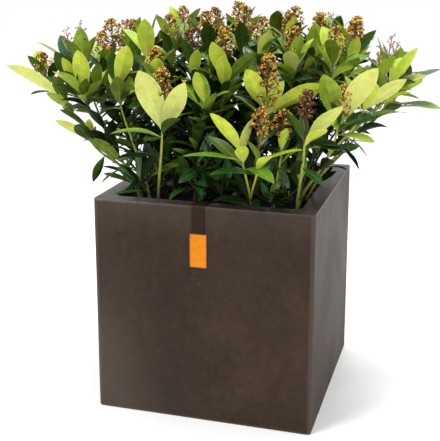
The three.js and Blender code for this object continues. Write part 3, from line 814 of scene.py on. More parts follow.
fineGrowth = {
    # the finer leaves: how many on a full stem, their roots' shares, opening from the twig and length
    "inner": {"count": 7, "roots": (0.7, 0.99), "open": (70, 12), "length": (44, 84), "slim": (0.8, 1.05)},
    "branch": {"count": 12, "roots": (0.06, 0.74), "open": (45, 82), "length": (56, 98), "slim": (0.62, 1)},
    "old": {"count": 20, "roots": (0.02, 0.96), "open": (46, 100), "length": (58, 102), "slim": (0.55, 0.95)},
    "low": {"count": 12, "roots": (0.26, 0.98), "open": (44, 96), "length": (50, 98), "slim": (0.5, 0.85)},
    "spray": {"count": 9, "roots": (0.3, 1), "open": (85, 20), "length": (44, 84), "slim": (0.5, 0.85)},
    "openSpread": 14,
    "bend": (0.3, 1.1),
}
leaves = []
panicles = []
sprayRuns = []


def growMass(index, plan):
    # main leaves, drawn in the same order as the solids' so that they stand in the same places
    draws = seededDraws(seeds["mainLeaves"] + index)
    tints = seededDraws(seeds["mainTints"] + index)
    placed = PlacedLeaves()
    lone = plan["lone"]

    def grow(kind, runs, share, axis, turn, openAngle, length, bend, tint=None, roll=0):
        tint = tint or pickTint(tints, tintWeights[kind])
        slim = within(tints, mainSlim[kind])
        growLeaf(index, *runs, share, axis, turn, openAngle, length, bend, tint, placed, mainRule, slim, roll)

    for shoot in plan["shoots"]:
        for share, bearing, tilt, length, roll, tint in leadLeaves(shoot):
            grow("lead", (shoot["run"], shoot["fineRun"]), share, up, bearing, tilt, length,
                 leadLeaf["bend"], tint, roll)
    first = 360 * next(draws)
    for k in range(plan["oldLeaves"]):
        turn = first + goldenTurn * k + spread(draws, oldWhorl["turnSpread"])
        openAngle = oldWhorl["open"] + spread(draws, oldWhorl["openSpread"])
        length = oldWhorl["length"] * within(draws, oldWhorl["lengthRange"])
        root = lerp(*oldWhorl["loneRoots" if lone else "roots"], k / oldWhorl["count"])
        bend = within(draws, oldWhorl["bend"])
        grow("old", (plan["twig"], plan["fineTwig"]), root, plan["lean"], turn, openAngle, length, bend)
    for shoot in plan["shoots"]:
        first = 360 * next(draws)
        count = shoot.get("youngLeaves", youngWhorl["count"] - math.ceil(len(shoot["leads"]) / 2))
        for k in range(count):
            share = k / (count - 1)
            turn = first + goldenTurn * k + spread(draws, youngWhorl["turnSpread"])
            openAngle = lerp(*youngWhorl["open"], share) + spread(draws, youngWhorl["openSpread"])
            length = youngWhorl["length"] * within(draws, youngWhorl["lengthRange"])
            root = lerp(*youngWhorl["roots"], share)
            bend = within(draws, youngWhorl["bend"])
            grow("young", (shoot["run"], shoot["fineRun"]), root, shoot["aim"], turn, openAngle, length, bend)
        if shoot["blossom"] != "none":
            turn = 2 * math.pi * next(draws) if shoot["blossom"] == "spent" else 0
            panicles.append((shoot, turn))


def growFiner(index, plan, placed):
    # the same whorls carried on with more and smaller leaves, and fine side twigs low on the stem
    draws = seededDraws(seeds["finerLeaves"] + index)

    def whorl(kind, run, axis, share=1.0, tints=None):
        rule = fineGrowth[kind]
        first = 360 * next(draws)
        count = round(rule["count"] * share)
        for k in range(count):
            step = k / max(count - 1, 1)
            if kind in ("inner", "spray"):
                openAngle = lerp(*rule["open"], step) + spread(draws, fineGrowth["openSpread"])
            else:
                openAngle = within(draws, rule["open"])
            length = within(draws, rule["length"])
            bend = within(draws, fineGrowth["bend"])
            slim = within(draws, rule["slim"])
            tint = pickTint(draws, tintWeights[tints or kind])
            root = lerp(*rule["roots"], step)
            growLeaf(index, run, run, root, axis, first + goldenTurn * k, openAngle, length, bend, tint,
                     placed, fineRule, slim)

    for shoot in plan["shoots"]:
        whorl("inner", shoot["fineRun"], shoot["aim"], plan["inner"])
        if not plan["lone"]:
            whorl("branch", shoot["fineRun"], shoot["aim"], plan["fill"])
    whorl("old", plan["fineTwig"], plan["lean"], plan["fill"])
    whorl("low", plan["fineBare"], plan["lean"], plan["low"])
    for _ in range(round(sprayRule["twigs"] * plan["low"])):
        root = pointOn(plan["fineBare"], within(draws, sprayRule["roots"]))
        aim = outFrom(up, 2 * math.pi * next(draws), math.radians(within(draws, sprayRule["tilt"])))
        tip = root + aim * within(draws, sprayRule["length"])
        twig = sweep(root, aim, tip, mixed(aim, up, sprayRule["tipUpright"]))
        run = alongSweep(twig, np.linspace(0, 1, sprayRule["stations"]))
        if inOwnSpace(run[sprayRule["freeStations"]:], index, sprayRule["margin"], mouthFloor):
            sprayRuns.append(run)
            whorl("spray", run, mixed(aim, up, sprayRule["leafUpright"]), tints="low")


for index, plan in enumerate(plans):
    growMass(index, plan)
print("main leaves:", len(leaves), "panicles:", len(panicles))
everyLeaf = PlacedLeaves()
for leaf in leaves:
    spine = layLeaf(leaf["root"], leaf["along"], leaf["face"], leaf["length"], leaf["bend"])[0]
    everyLeaf.add(spine(spineRuns))
for index, plan in enumerate(plans):
    growFiner(index, plan, everyLeaf)
print("leaves in all:", len(leaves), "side twigs:", len(sprayRuns))


# leaf blades

leafShape = {
    "stations": (0, 0.07, 0.17, 0.29, 0.41, 0.53, 0.65, 0.77, 0.88, 0.96),
    # across the leaf: share of the half width, on the midrib or not, under side or not
    "columns": ((-1, 0, 0), (-0.52, 0, 0), (-1, 1, 0), (1, 1, 0), (0.52, 0, 0), (1, 0, 0),
                (0.52, 0, 1), (1, 1, 1), (-1, 1, 1), (-0.52, 0, 1)),
    "between": (0, 0, 2, 0, 0, 1, 1, 2, 1, 1),  # the material from each column to the next
    "baseNarrowing": 1.25,
    "tipRounding": 0.95,
    "stalkHalf": 0.85,
    "midribHalf": (0.9, 0.2),
    "midribShare": 0.4,
    "midribRelief": (0.25, 0.5),  # the groove on top and the ridge below
    "thick": 0.75,
    "thinning": 0.6,
    "widthRange": (0.94, 1.08),
    "foldRange": (0.12, 0.42),
    "recurve": (0.0, 0.16),
    "wave": (0.0, 0.07),
    "waveRate": 9,
    "waveShift": 2,
    "twist": (-0.5, 0.5),
    "sharpAngle": 55,
}


def leafOutline(t):
    # half width as a share of the greatest
    a, b = leafShape["baseNarrowing"], leafShape["tipRounding"]
    widest = a / (a + b)
    return t ** a * (1 - t) ** b / (widest ** a * (1 - widest) ** b)


def bladeArrays(chosen, seed):
    # all the blades of one tint at once: a vertex for each column at each station and one at the tip
    draw = np.random.default_rng(seed)
    t = np.array(leafShape["stations"])
    columns = leafShape["columns"]
    count, rings, ring = len(chosen), len(t), len(columns)

    def gather(key):
        return np.array([leaf[key] for leaf in chosen])[:, None]

    def drawn(key):
        return draw.uniform(*leafShape[key], count)[:, None]

    root, along, face = gather("root"), gather("along"), gather("face")
    length, bend = gather("length"), gather("bend")
    side = np.cross(along, face)
    side /= np.linalg.norm(side, axis=2)[..., None]
    fold, recurve, wave = drawn("foldRange"), drawn("recurve"), drawn("wave")
    phase = draw.uniform(0, 2 * np.pi, count)[:, None]
    twist = drawn("twist")
    width = gather("slim") * drawn("widthRange")

    def place(t, across, lift):
        # t is (k,), across and lift are (count, k) in millimetres
        turn = bend * t
        spine = root + along * (length * np.sin(turn) / bend)[..., None]
        spine = spine - face * (length * (1 - np.cos(turn)) / bend)[..., None]
        normal = face * np.cos(turn)[..., None] + along * np.sin(turn)[..., None]
        angle = twist * t
        turnedSide = side * np.cos(angle)[..., None] + normal * np.sin(angle)[..., None]
        turnedNormal = normal * np.cos(angle)[..., None] - side * np.sin(angle)[..., None]
        return spine + turnedSide * across[..., None] + turnedNormal * lift[..., None]

    half = np.maximum(leafOutline(t) * slimness / 2 * length * width, leafShape["stalkHalf"])
    ribHalf = np.minimum(lerp(*leafShape["midribHalf"], t)[None], half * leafShape["midribShare"])
    thick = leafShape["thick"] * (1 - leafShape["thinning"] * t)
    groove, ridge = leafShape["midribRelief"]
    places, uvs = [], []
    for aside, onRib, below in columns:
        across = (ribHalf if onRib else half) * aside
        share = np.abs(across) / half
        shift = 0 if aside < 0 else leafShape["waveShift"]
        lift = half * (fold * share - recurve * share ** 2)
        lift = lift + wave * half * share * np.sin(leafShape["waveRate"] * t + phase + shift)
        if not onRib and abs(aside) == 1:
            drop = 0
        elif below:
            drop = -(thick / 2 + (ridge * (1 - t) if onRib else 0))
        else:
            drop = thick / 2 - (groove if onRib else 0)
        places.append(place(t, across, lift + drop))
        uvs.append(np.stack([np.broadcast_to(t, (count, rings)), across / half], -1))
    end = rings * ring
    flat = np.zeros((count, 1))
    tip = place(np.array([1.0]), flat, flat)
    verts = np.concatenate([np.stack(places, 2).reshape(count, end, 3), tip], 1)
    tipUv = np.broadcast_to([1.0, 0.0], (count, 1, 2))
    uv = np.concatenate([np.stack(uvs, 2).reshape(count, end, 2), tipUv], 1)
    # faces of one blade: bands of quads, a fan to the tip and the flat cut at the stalk
    looks = leafShape["between"]
    steps = [(i * ring, j, (j + 1) % ring) for i in range(rings) for j in range(ring)]
    quads = [(a + j, a + k, a + ring + k, a + ring + j) for a, j, k in steps[:-ring]]
    tris = [(a + j, a + k, end) for a, j, k in steps[-ring:]] + [(0, j + 1, j) for j in range(1, ring - 1)]
    offset = (np.arange(count) * (end + 1))[:, None, None]
    return (
        verts.reshape(-1, 3),
        (np.array(quads)[None] + offset).reshape(-1, 4),
        (np.array(tris)[None] + offset).reshape(-1, 3),
        np.tile(looks * (rings - 1), count),
        np.tile([*looks, *[1] * (ring - 2)], count),
        uv.reshape(-1, 2),
    )


for seed, tint in enumerate(leafTints):
    chosen = [leaf for leaf in leaves if leaf["tint"] == tint]
    blades = [bladeArrays(chosen, seed)]
    piece = makePiece(f"leaves_{tint}", blades, leafMaterials(tint), leafShape["sharpAngle"])
    settle(piece, foliageNodes)
    print(tint, len(chosen), "leaves")


# stems and twigs with the bark's relief

bark = {
    "foot": 3.0,
    "tip": 2.2,
    "twigRoot": 2.0,
    "twigHead": 1.65,
    "flareFade": (4.5, 1.5),
    "sides": 12,
    "ringStep": 2.2,
    "twigSides": 8,
    "twigStep": 3.5,
    "sprayRadii": (1.5, 0.9),
    "spraySides": 6,
    "firstScar": (4, 10),
    "scarStep": 11,
    "scarStepRange": (0.6, 1.4),
    "scarFacing": (0.55, 0.45),
    "scarSwell": 0.16,
    "twigScarSwell": 0.22,
    "scarRise": 1.5,
    "scarDip": (2.6, 1.2, 0.5),  # how far past the swelling, how long and how deep beside it
    "ripples": (2, 3, 5),
    "ridge": 0.045,
    "ridgeTurn": 0.08,
}
barkLooks = {
    # colours at the soil, up the stem and at the heads
    # bright bark on the front stems and dark bark on the stems inside the crown are partly painted light and
    # painted shade, one bark drawn lit in front and shaded within
    "bright": {"foot": (0.17, 0.20, 0.03), "stem": (0.36, 0.41, 0.04), "twig": (0.52, 0.46, 0.04)},
    "green": {"foot": (0.20, 0.14, 0.045), "stem": (0.20, 0.24, 0.035), "twig": (0.32, 0.36, 0.06)},
    "dark": {"foot": (0.05, 0.034, 0.017), "stem": (0.05, 0.062, 0.015), "twig": (0.13, 0.18, 0.035)},
}


def barkRadii(points, radii, sides, draw, swell):
    # leaf scars swell the stem at intervals, and shallow ridges run along it
    steps = travelled(points)
    angle = 2 * np.pi * np.arange(sides) / sides
    relief = np.zeros((len(points), sides))
    evenly, facingShare = bark["scarFacing"]
    past, dipLong, dipDeep = bark["scarDip"]
    at = draw.uniform(*bark["firstScar"])
    while at < steps[-1]:
        facing = evenly + facingShare * np.cos(angle - draw.uniform(0, 2 * np.pi))
        relief += swell * np.exp(-(((steps - at) / bark["scarRise"]) ** 2))[:, None] * facing
        relief -= swell * dipDeep * np.exp(-(((steps - at - past) / dipLong) ** 2))[:, None] * facing
        at += bark["scarStep"] * draw.uniform(*bark["scarStepRange"])
    for ripple in bark["ripples"]:
        phase = draw.uniform(0, 2 * np.pi) + steps * draw.uniform(-bark["ridgeTurn"], bark["ridgeTurn"])
        relief += bark["ridge"] * np.sin(ripple * angle + phase[:, None]) / ripple * 2
    return radii[:, None] * (1 + relief)


def resample(points, step):
    count = max(4, int(travelled(points)[-1] / step))
    return np.array([pointOn(points, share) for share in np.linspace(0, 1, count)])


def stemParts():
    parts = []
    sides = bark["sides"]
    fade, steepness = bark["flareFade"]
    for index, plan in enumerate(plans):
        draw = np.random.default_rng(seeds["stems"] + index)
        points = resample(plan["fineBare"], bark["ringStep"])
        steps = travelled(points)
        radii = lerp(bark["foot"], bark["tip"], steps / steps[-1])
        radii = radii * (1 + (stemSize["flare"] - 1) * np.exp(-((steps / fade) ** steepness)))
        radii = barkRadii(points, radii, sides, draw, bark["scarSwell"])
        part = tubePart(points, radii, sides, list(barkLooks).index(plan["bark"]))
        part[0][:sides, 2] = soilTop + gap  # the flat cut at the soil
        parts.append(part)
    return parts


def twigParts():
    parts = []
    sides = bark["twigSides"]
    for index, plan in enumerate(plans):
        draw = np.random.default_rng(seeds["twigs"] + index)
        for k, shoot in enumerate(plan["shoots"]):
            points = shoot["fineRun"]
            if k == 0 and not plan["lone"]:
                points = np.concatenate([plan["fineTwig"], points[1:]])
            points = resample(points, bark["twigStep"])
            radii = np.linspace(bark["twigRoot" if k else "tip"], bark["twigHead"], len(points))
            radii = barkRadii(points, radii, sides, draw, bark["twigScarSwell"])
            parts.append(tubePart(points, radii, sides, list(barkLooks).index(plan["bark"])))
    # the low side twigs take the darkest bark, partly painted shade under the leaves
    darkest = len(barkLooks) - 1
    for run in sprayRuns:
        radii = np.linspace(*bark["sprayRadii"], len(run))
        parts.append(tubePart(run, radii, bark["spraySides"], darkest))
    return parts


barkFinish = {
    # from which colour to which, between which heights, and how rough
    "Stem": ("foot", "stem", 0.385, 0.5, 0.62),
    "Twig": ("stem", "twig", 0.44, 0.62, 0.5),
    "streakScale": 160,
    "fleckScale": 420,
    "fleck": (0.55, 0.5, 0.42),
    "fleckStrength": 0.75,
    "bump": (0.5, 0.0008),
}


def barkMaterials(part):
    # brown where the growth is old, green where it is young
    lower, upper, lowZ, highZ, roughness = barkFinish[part]
    made = []
    for kind, look in barkLooks.items():
        material, tree, shader = newMaterial(f"{kind}{part}", roughness)
        above = calculate(tree, "SUBTRACT", splitPlace(tree, "Object")["Z"], lowZ)
        height = calculate(tree, "DIVIDE", above, highZ - lowZ)
        streaks = objectNoise(tree, barkFinish["streakScale"], detail=6.0, stretch=(1, 1, 0.25))
        fade = calculate(tree, "ADD", height, calculate(tree, "SUBTRACT", streaks, 0.5))
        body = colourRamp(tree, fade, [(0.15, look[lower]), (0.85, look[upper])])
        spots = objectNoise(tree, barkFinish["fleckScale"], detail=2.0)
        flecks = colourRamp(tree, spots, [(0.36, barkFinish["fleck"]), (0.55, grey(1))])
        flecked = mixColours(tree, barkFinish["fleckStrength"], body, flecks, "MULTIPLY")
        tree.links.new(flecked, shader.inputs["Base Color"])
        addBump(tree, shader, streaks, *barkFinish["bump"])
        made.append(material)
    return made


settle(makePiece("stems", stemParts(), barkMaterials("Stem")), stemNodes)
settle(makePiece("twigs", twigParts(), barkMaterials("Twig")), foliageNodes)


# panicles: gold and dark ones full of buds, spent ones forked and bare

blossom = {
    "stalkRadii": (1.7, 1.5, 1.35, 1.1, 0.7),
    "stalkSway": 0.8,
    "goldStalks": 19,
    "sideRadii": (0.9, 0.75, 0.6),
    "fullness": (1.05, 1.4),
    "reachRange": (0.8, 1.1),
    "openRange": (78, 30),
    "turnSway": 0.3,
    "stalksUpTo": 0.94,
    "clusterBuds": 10,
    "clusterRadius": 4.9,
    "clusterDepth": (0.55, 1),
    "clusterNarrowing": (0.7, 0.3),
    "clusterPush": 0.6,
    "budLean": 3,
    "budRadius": (1.4, 2.2),
    # the shares of the three bud tones; the last, the darkest, is partly painted shade
    "budMix": (0.42, 0.28, 0.3),
    "outline": ((0, 0.2, 0.6, 0.85, 1), (0.6, 1, 0.92, 0.66, 0.3)),  # shares of the height and the width
    "spentStalks": 9,
    "spentLength": 18,
    "spentLengthRange": (0.6, 1),
    "spentTaper": 0.45,
    "spentUpTo": 0.95,
    "spentOpen": 46,
    "spentOpenRange": (0.7, 1.25),
    "spentRadii": (0.75, 0.6, 0.5),
    "spentForks": 4,
    "forkOpen": (0.3, 1.0),
    "forkLength": (2.5, 5.5),
    "forkRadii": (0.42, 0.36),
    "knobRadius": (0.9, 1.5),
}
budProfile = ((-1.0, 0.0), (-0.4, 0.92), (0.5, 0.84), (1.12, 0.0))


def budTemplate(sides=5):
    verts, quads, tris = [(0, 0, budProfile[0][0])], [], []
    for height, radius in budProfile[1:-1]:
        for k in range(sides):
            angle = 2 * math.pi * k / sides
            verts.append((radius * math.cos(angle), radius * math.sin(angle), height))
    last = len(verts)
    top = last - sides
    verts.append((0, 0, budProfile[-1][0]))
    for k in range(sides):
        n = (k + 1) % sides
        tris += [(0, 1 + n, 1 + k), (last, top + k, top + n)]
        quads += [(a + k, a + n, a + sides + n, a + sides + k) for a in range(1, top, sides)]
    return np.array(verts, float), np.array(quads), np.array(tris)


budVerts, budQuads, budTris = budTemplate()


def budPart(centre, axis, radius, look):
    side = unit(np.cross(axis, [0.3, 0.9, 0.2]))
    other = np.cross(axis, side)
    verts = centre + (budVerts[:, :1] * side + budVerts[:, 1:2] * other + budVerts[:, 2:] * axis) * radius
    return verts, budQuads, budTris, look, look, None


def panicleWidth(share):
    return float(np.interp(share, *blossom["outline"]))


stalkParts = {"gold": [], "dark": [], "spent": []}
budParts = {"gold": [], "dark": [], "spent": []}


def growBuds(kind, draw, axis, tall, foot, end):
    # side stalks that each carry a cluster of buds
    radius = panicle["radius"] * math.sqrt(tall / panicle["height"]) * draw.uniform(*blossom["fullness"])
    count = int(blossom["goldStalks"] * tall / panicle["height"]) + 1
    sway = blossom["turnSway"]
    least, more = blossom["clusterNarrowing"]
    for k in range(count):
        share = k / (count - 1)
        start = lerp(foot - axis * 2, end, share * blossom["stalksUpTo"])
        reach = radius * panicleWidth(share) * draw.uniform(*blossom["reachRange"])
        turn = math.radians(goldenTurn) * k + draw.uniform(-sway, sway)
        aim = outFrom(axis, turn, math.radians(lerp(*blossom["openRange"], share)))
        tip = start + aim * reach
        stalkParts[kind].append(tubePart([start, lerp(start, tip, 0.6), tip], blossom["sideRadii"], 4))
        for _ in range(blossom["clusterBuds"]):
            off = unit(draw.normal(size=3)) * blossom["clusterRadius"]
            off = off * draw.uniform(*blossom["clusterDepth"]) * (least + more * panicleWidth(share))
            look = draw.choice(3, p=blossom["budMix"])
            size = draw.uniform(*blossom["budRadius"])
            centre = tip + off + aim * blossom["clusterPush"]
            budParts[kind].append(budPart(centre, unit(off + aim * blossom["budLean"]), size, look))


def growSpent(kind, draw, axis, turn, foot, end):
    # bare side stalks that fork, with a knob at the end of each fork
    for k in range(blossom["spentStalks"]):
        share = k / blossom["spentStalks"]
        start = lerp(foot, end, share * blossom["spentUpTo"])
        opened = math.radians(blossom["spentOpen"]) * draw.uniform(*blossom["spentOpenRange"])
        aim = outFrom(axis, turn + math.radians(goldenTurn) * k, opened)
        length = blossom["spentLength"] * (1 - blossom["spentTaper"] * share)
        tip = start + aim * (length * draw.uniform(*blossom["spentLengthRange"]))
        stalkParts[kind].append(tubePart([start, lerp(start, tip, 0.5), tip], blossom["spentRadii"], 4))
        for _ in range(blossom["spentForks"]):
            forkStart = lerp(start, tip, draw.uniform(0.5, 1))
            forkAim = outFrom(aim, draw.uniform(0, 2 * math.pi), draw.uniform(*blossom["forkOpen"]))
            forkTip = forkStart + forkAim * draw.uniform(*blossom["forkLength"])
            stalkParts[kind].append(tubePart([forkStart, forkTip], blossom["forkRadii"], 4))
            size = draw.uniform(*blossom["knobRadius"])
            budParts[kind].append(budPart(forkTip, forkAim, size, draw.integers(3)))


for number, (shoot, turn) in enumerate(panicles):
    kind = shoot["blossom"]
    draw = np.random.default_rng(seeds["panicles"] + number)
    axis, tall, foot, end = panicleTop(shoot)
    base = shoot["tip"] - axis * panicle["sunk"]
    run = np.array([base, lerp(base, foot, 0.5), foot, lerp(foot, end, 0.5), end - axis * 2])
    run[1:4] += draw.uniform(-blossom["stalkSway"], blossom["stalkSway"], (3, 3))
    stalkParts[kind].append(tubePart(run, blossom["stalkRadii"], 6))
    if kind == "spent":
        growSpent(kind, draw, axis, turn, foot, end)
    else:
        growBuds(kind, draw, axis, tall, foot, end)

# three bud tones dealt at random; the near-black third of the gold and dark kinds is partly painted shade for
# the shaded gaps between the clusters
budColours = {
    "gold": (((0.45, 0.255, 0.022), (0.74, 0.50, 0.065)), ((0.24, 0.10, 0.010), (0.42, 0.21, 0.02)),
             ((0.065, 0.018, 0.005), (0.14, 0.045, 0.010))),
    "dark": (((0.07, 0.018, 0.008), (0.15, 0.045, 0.016)), ((0.22, 0.12, 0.025), (0.40, 0.25, 0.05)),
             ((0.03, 0.009, 0.006), (0.07, 0.02, 0.010))),
    "spent": (((0.32, 0.19, 0.12), (0.46, 0.31, 0.21)), ((0.20, 0.09, 0.055), (0.33, 0.17, 0.11)),
              ((0.34, 0.28, 0.10), (0.48, 0.42, 0.17))),
}
stalkColours = {
    "gold": ((0.09, 0.026, 0.008), (0.21, 0.08, 0.02)),
    "dark": ((0.05, 0.013, 0.008), (0.11, 0.03, 0.015)),
    "spent": ((0.24, 0.12, 0.08), (0.38, 0.21, 0.14)),
}
for kind in budParts:
    budLooks = [
        speckledMaterial(f"{kind}Bud{k}", *colours, roughness=0.42, scale=320, bump=0.2, depth=0.0003,
                         Specular_IOR_Level=0.28)
        for k, colours in enumerate(budColours[kind])]
    stalkLooks = [speckledMaterial(f"{kind}Stalk", *stalkColours[kind], roughness=0.6, scale=260)]
    settle(makePiece(f"buds_{kind}", budParts[kind], budLooks), foliageNodes)
    settle(makePiece(f"bud_stalks_{kind}", stalkParts[kind], stalkLooks), foliageNodes)


# tools for the pieces shaped by hand

def startPiece(name):
    piece = bpy.context.object
    piece.name = name
    piece.data.name = name
    bpy.ops.object.transform_apply(location=True, rotation=True, scale=True)
    return piece


def pickIn(piece, kind, test):
    # selects the faces whose middle and normal, or the edges whose middle and direction, pass the test
    bpy.ops.object.mode_set(mode="EDIT")
    bpy.ops.mesh.select_mode(type=kind)
    bpy.ops.mesh.select_all(action="DESELECT")
    bpy.ops.object.mode_set(mode="OBJECT")
    if kind == "FACE":
        for face in piece.data.polygons:
            face.select = test(face.center, face.normal)
    else:
        for edge in piece.data.edges:
            a, b = (piece.data.vertices[v].co for v in edge.vertices)
            edge.select = test((a + b) / 2, (b - a).normalized())
    bpy.ops.object.mode_set(mode="EDIT")


def extrude(x, y, z):
    bpy.ops.mesh.extrude_region_move(TRANSFORM_OT_translate={"value": (x, y, z)})


def finishWith(piece, kind, **settings):
    bpy.ops.object.modifier_add(type=kind)
    for key, value in settings.items():
        setattr(piece.modifiers[-1], key, value)
    bpy.ops.object.modifier_apply(modifier=piece.modifiers[-1].name)


def endPiece(piece, smoothAngle=30):
    bpy.ops.object.mode_set(mode="OBJECT")
    bpy.ops.object.transform_apply(location=True, rotation=True, scale=True)
    bpy.ops.object.shade_smooth_by_angle(angle=math.radians(smoothAngle))
    bpy.ops.object.select_all(action="DESELECT")
    print(piece.name, "modelled")


def close(a, b, slack=0.0004):
    return abs(a - b) < slack


# pot

fibreClay = {
    "dark": (0.019, 0.0092, 0.0040),
    "body": (0.0262, 0.0134, 0.0062),
    "light": (0.041, 0.024, 0.0135),
    "worn": (0.12, 0.10, 0.085),
    "speck": (0.1, 0.085, 0.07),
    "dust": (0.075, 0.062, 0.05),
    "dustLean": 0.6,
    "dustReach": ((0.04, 0), (0.16, 0.2), (0.28, 0.8)),  # how far left of the slanting line, and how much
    "rimBand": (0.34, 0.388),
    "rimEdge": (0.398, 0.3995),
    # painted reflection: the colour and place of the paler left of the rim top
    "rimPaintedReflection": (0.20, 0.20, 0.19),
    "rimPaintedReflectionPlace": (-0.17, -0.02),
    "rimRoughness": 0.24,
    "roughness": 0.5,
    "specular": 0.12,
    "rimSpecular": 0.42,
    "bump": (0.28, 0.0012),
}


def fibreClayMaterial():
    material, tree, shader = newMaterial(
        "fibreClay", fibreClay["roughness"], Specular_IOR_Level=fibreClay["specular"])
    place = splitPlace(tree, "Object")
    clouds = objectNoise(tree, 4.5, detail=8.0, rough=0.62)
    grain = objectNoise(tree, 230, detail=5.0)
    mottle = objectNoise(tree, 55, detail=6.0, rough=0.7)
    body = colourRamp(tree, clouds, [
        (0.34, fibreClay["dark"]), (0.52, fibreClay["body"]), (0.72, fibreClay["light"])])
    # long soft streaks from the mould, then grain and mottling
    streaks = objectNoise(tree, 13, detail=5.0, stretch=(1, 1, 0.14))
    streaks = greyRamp(tree, streaks, (0.35, 0.78), (0.66, 1.25))
    grains = colourRamp(tree, grain, [(0.3, (0.66, 0.64, 0.62)), (0.7, grey(1.25))])
    patches = colourRamp(tree, mottle, [(0.34, grey(0.74)), (0.5, grey(1)), (0.68, (1.3, 1.29, 1.27))])
    for strength, layer in ((0.7, streaks), (0.8, grains), (1.0, patches)):
        body = mixColours(tree, strength, body, layer, "MULTIPLY")
    # dust lies thickest toward the lower left, with a thin band of it under the rim
    lean = fibreClay["dustLean"]
    slanting = calculate(tree, "MULTIPLY", place["Z"], lean)
    leftward = calculate(tree, "SUBTRACT", 0.5 + lean * pot["height"] / 2 * mm, place["X"])
    leftward = calculate(tree, "SUBTRACT", leftward, slanting)
    corner = greyRamp(tree, leftward, *((0.5 + far, much) for far, much in fibreClay["dustReach"]))
    bandStart, bandFull = fibreClay["rimBand"]
    band = greyRamp(tree, place["Z"], (bandStart, 0), (bandFull, 0.3))
    patchy = greyRamp(tree, clouds, (0.35, 0.55), (0.65, 1))
    dusty = calculate(tree, "MULTIPLY", calculate(tree, "MAXIMUM", corner, band), patchy)
    body = mixColours(tree, dusty, body, fibreClay["dust"])
    # a few pale specks, and edges worn paler, read from how sharply the surface turns
    specks = greyRamp(tree, objectNoise(tree, 95, detail=1.0), (0.772, 0), (0.80, 1))
    body = mixColours(tree, specks, body, fibreClay["speck"])
    turning = tree.nodes.new("ShaderNodeNewGeometry").outputs["Pointiness"]
    body = mixColours(tree, greyRamp(tree, turning, (0.5, 0), (0.56, 0.6)), body, fibreClay["worn"])
    # the rim is smoother than the walls, and the left of its top is painted paler, a painted reflection of
    # the bright surroundings at a grazing angle
    edge, onTop = fibreClay["rimEdge"]
    rim = greyRamp(tree, place["Z"], (edge, 0), (onTop, 1))
    left, right = fibreClay["rimPaintedReflectionPlace"]
    along = calculate(tree, "ADD", place["X"], 0.5)
    paintedReflection = calculate(tree, "MULTIPLY", rim, greyRamp(tree, along, (0.5 + left, 0.9), (0.5 + right, 0)))
    paintedReflection = calculate(tree, "MULTIPLY", paintedReflection, greyRamp(tree, mottle, (0.35, 0.35), (0.6, 1)))
    body = mixColours(tree, paintedReflection, body, fibreClay["rimPaintedReflection"])
    rough = greyRamp(tree, clouds, (0.3, 0.42), (0.7, 0.62))
    rough = mixColours(tree, rim, rough, grey(fibreClay["rimRoughness"]))
    shine = greyRamp(tree, place["Z"], (edge, fibreClay["specular"]), (onTop, fibreClay["rimSpecular"]))
    for socket, value in (("Base Color", body), ("Roughness", rough), ("Specular IOR Level", shine)):
        tree.links.new(value, shader.inputs[socket])
    fine = calculate(tree, "MULTIPLY", grain, 0.35)
    addBump(tree, shader, calculate(tree, "ADD", fine, objectNoise(tree, 28, detail=3.0)), *fibreClay["bump"])
    return material


def makePot():
    half = pot["side"] * mm / 2
    top = pot["height"] * mm
    inner = half - pot["wall"] * mm
    outside = half - pot["cornerRound"] * mm - 0.001

    def reach(c):
        return max(abs(c.x), abs(c.y))

    def level(c, d, height):
        return close(c.z, height) and abs(d.z) < 0.1

    bpy.ops.mesh.primitive_cube_add(size=2 * half, location=(0, 0, half))
    piece = startPiece("fibre_clay_pot")
    pickIn(piece, "FACE", lambda c, n: n.z > 0.9)
    bpy.ops.mesh.inset(thickness=pot["wall"] * mm)
    extrude(0, 0, pot["base"] * mm - top)
    rounds = (
        # which edges, how round and in how many steps
        (lambda c, d: abs(d.z) > 0.9 and abs(c.x) > inner + 0.01, "cornerRound", 7),
        (lambda c, d: abs(d.z) > 0.9 and reach(c) < inner + 0.001, "innerRound", 7),
        (lambda c, d: level(c, d, top) and reach(c) > outside, "edgeRound", 5),
        (lambda c, d: level(c, d, 0) and reach(c) > outside, "footRound", 4),
        (lambda c, d: level(c, d, top) and close(reach(c), inner, 0.006), "mouthRound", 3),
    )
    for test, size, steps in rounds:
        pickIn(piece, "EDGE", test)
        bpy.ops.mesh.bevel(offset=pot[size] * mm, segments=steps, affect="EDGES", clamp_overlap=True)
    # a narrow border inside the broad faces, so that only the edges count as worn
    pickIn(piece, "FACE", lambda c, n: n.z < -0.999 or max(abs(n.x), abs(n.y)) > 0.999 and reach(c) > outside)
    bpy.ops.mesh.inset(thickness=pot["border"] * mm, use_individual=True)
    piece.data.materials.append(fibreClayMaterial())
    endPiece(piece)
    settle(piece, ["pot"])


# soil

soilLook = {
    "damp": ((0.003, 0.002, 0.0015), (0.014, 0.0095, 0.0065)),
    "rows": 110,
    "waves": 9,
    "waveRate": (20, 90),
    "waveHeight": 3.2,
    "grit": 0.7,
    "sink": 1.2,
    "wallFade": 0.01,
    "leastRough": 0.2,
    "crumbs": 1500,
    "crumbSize": (0.8, 3.4),
    "crumbStretch": (0.55, 1.2),
    "crumbRest": -1.5,
    "crumbDepth": 6,
    "crumbMargin": 5,
    "barkShare": 0.22,
    "peat": ((0.006, 0.004, 0.003), (0.03, 0.02, 0.014)),
    "barkChip": ((0.03, 0.017, 0.009), (0.09, 0.055, 0.03)),
}


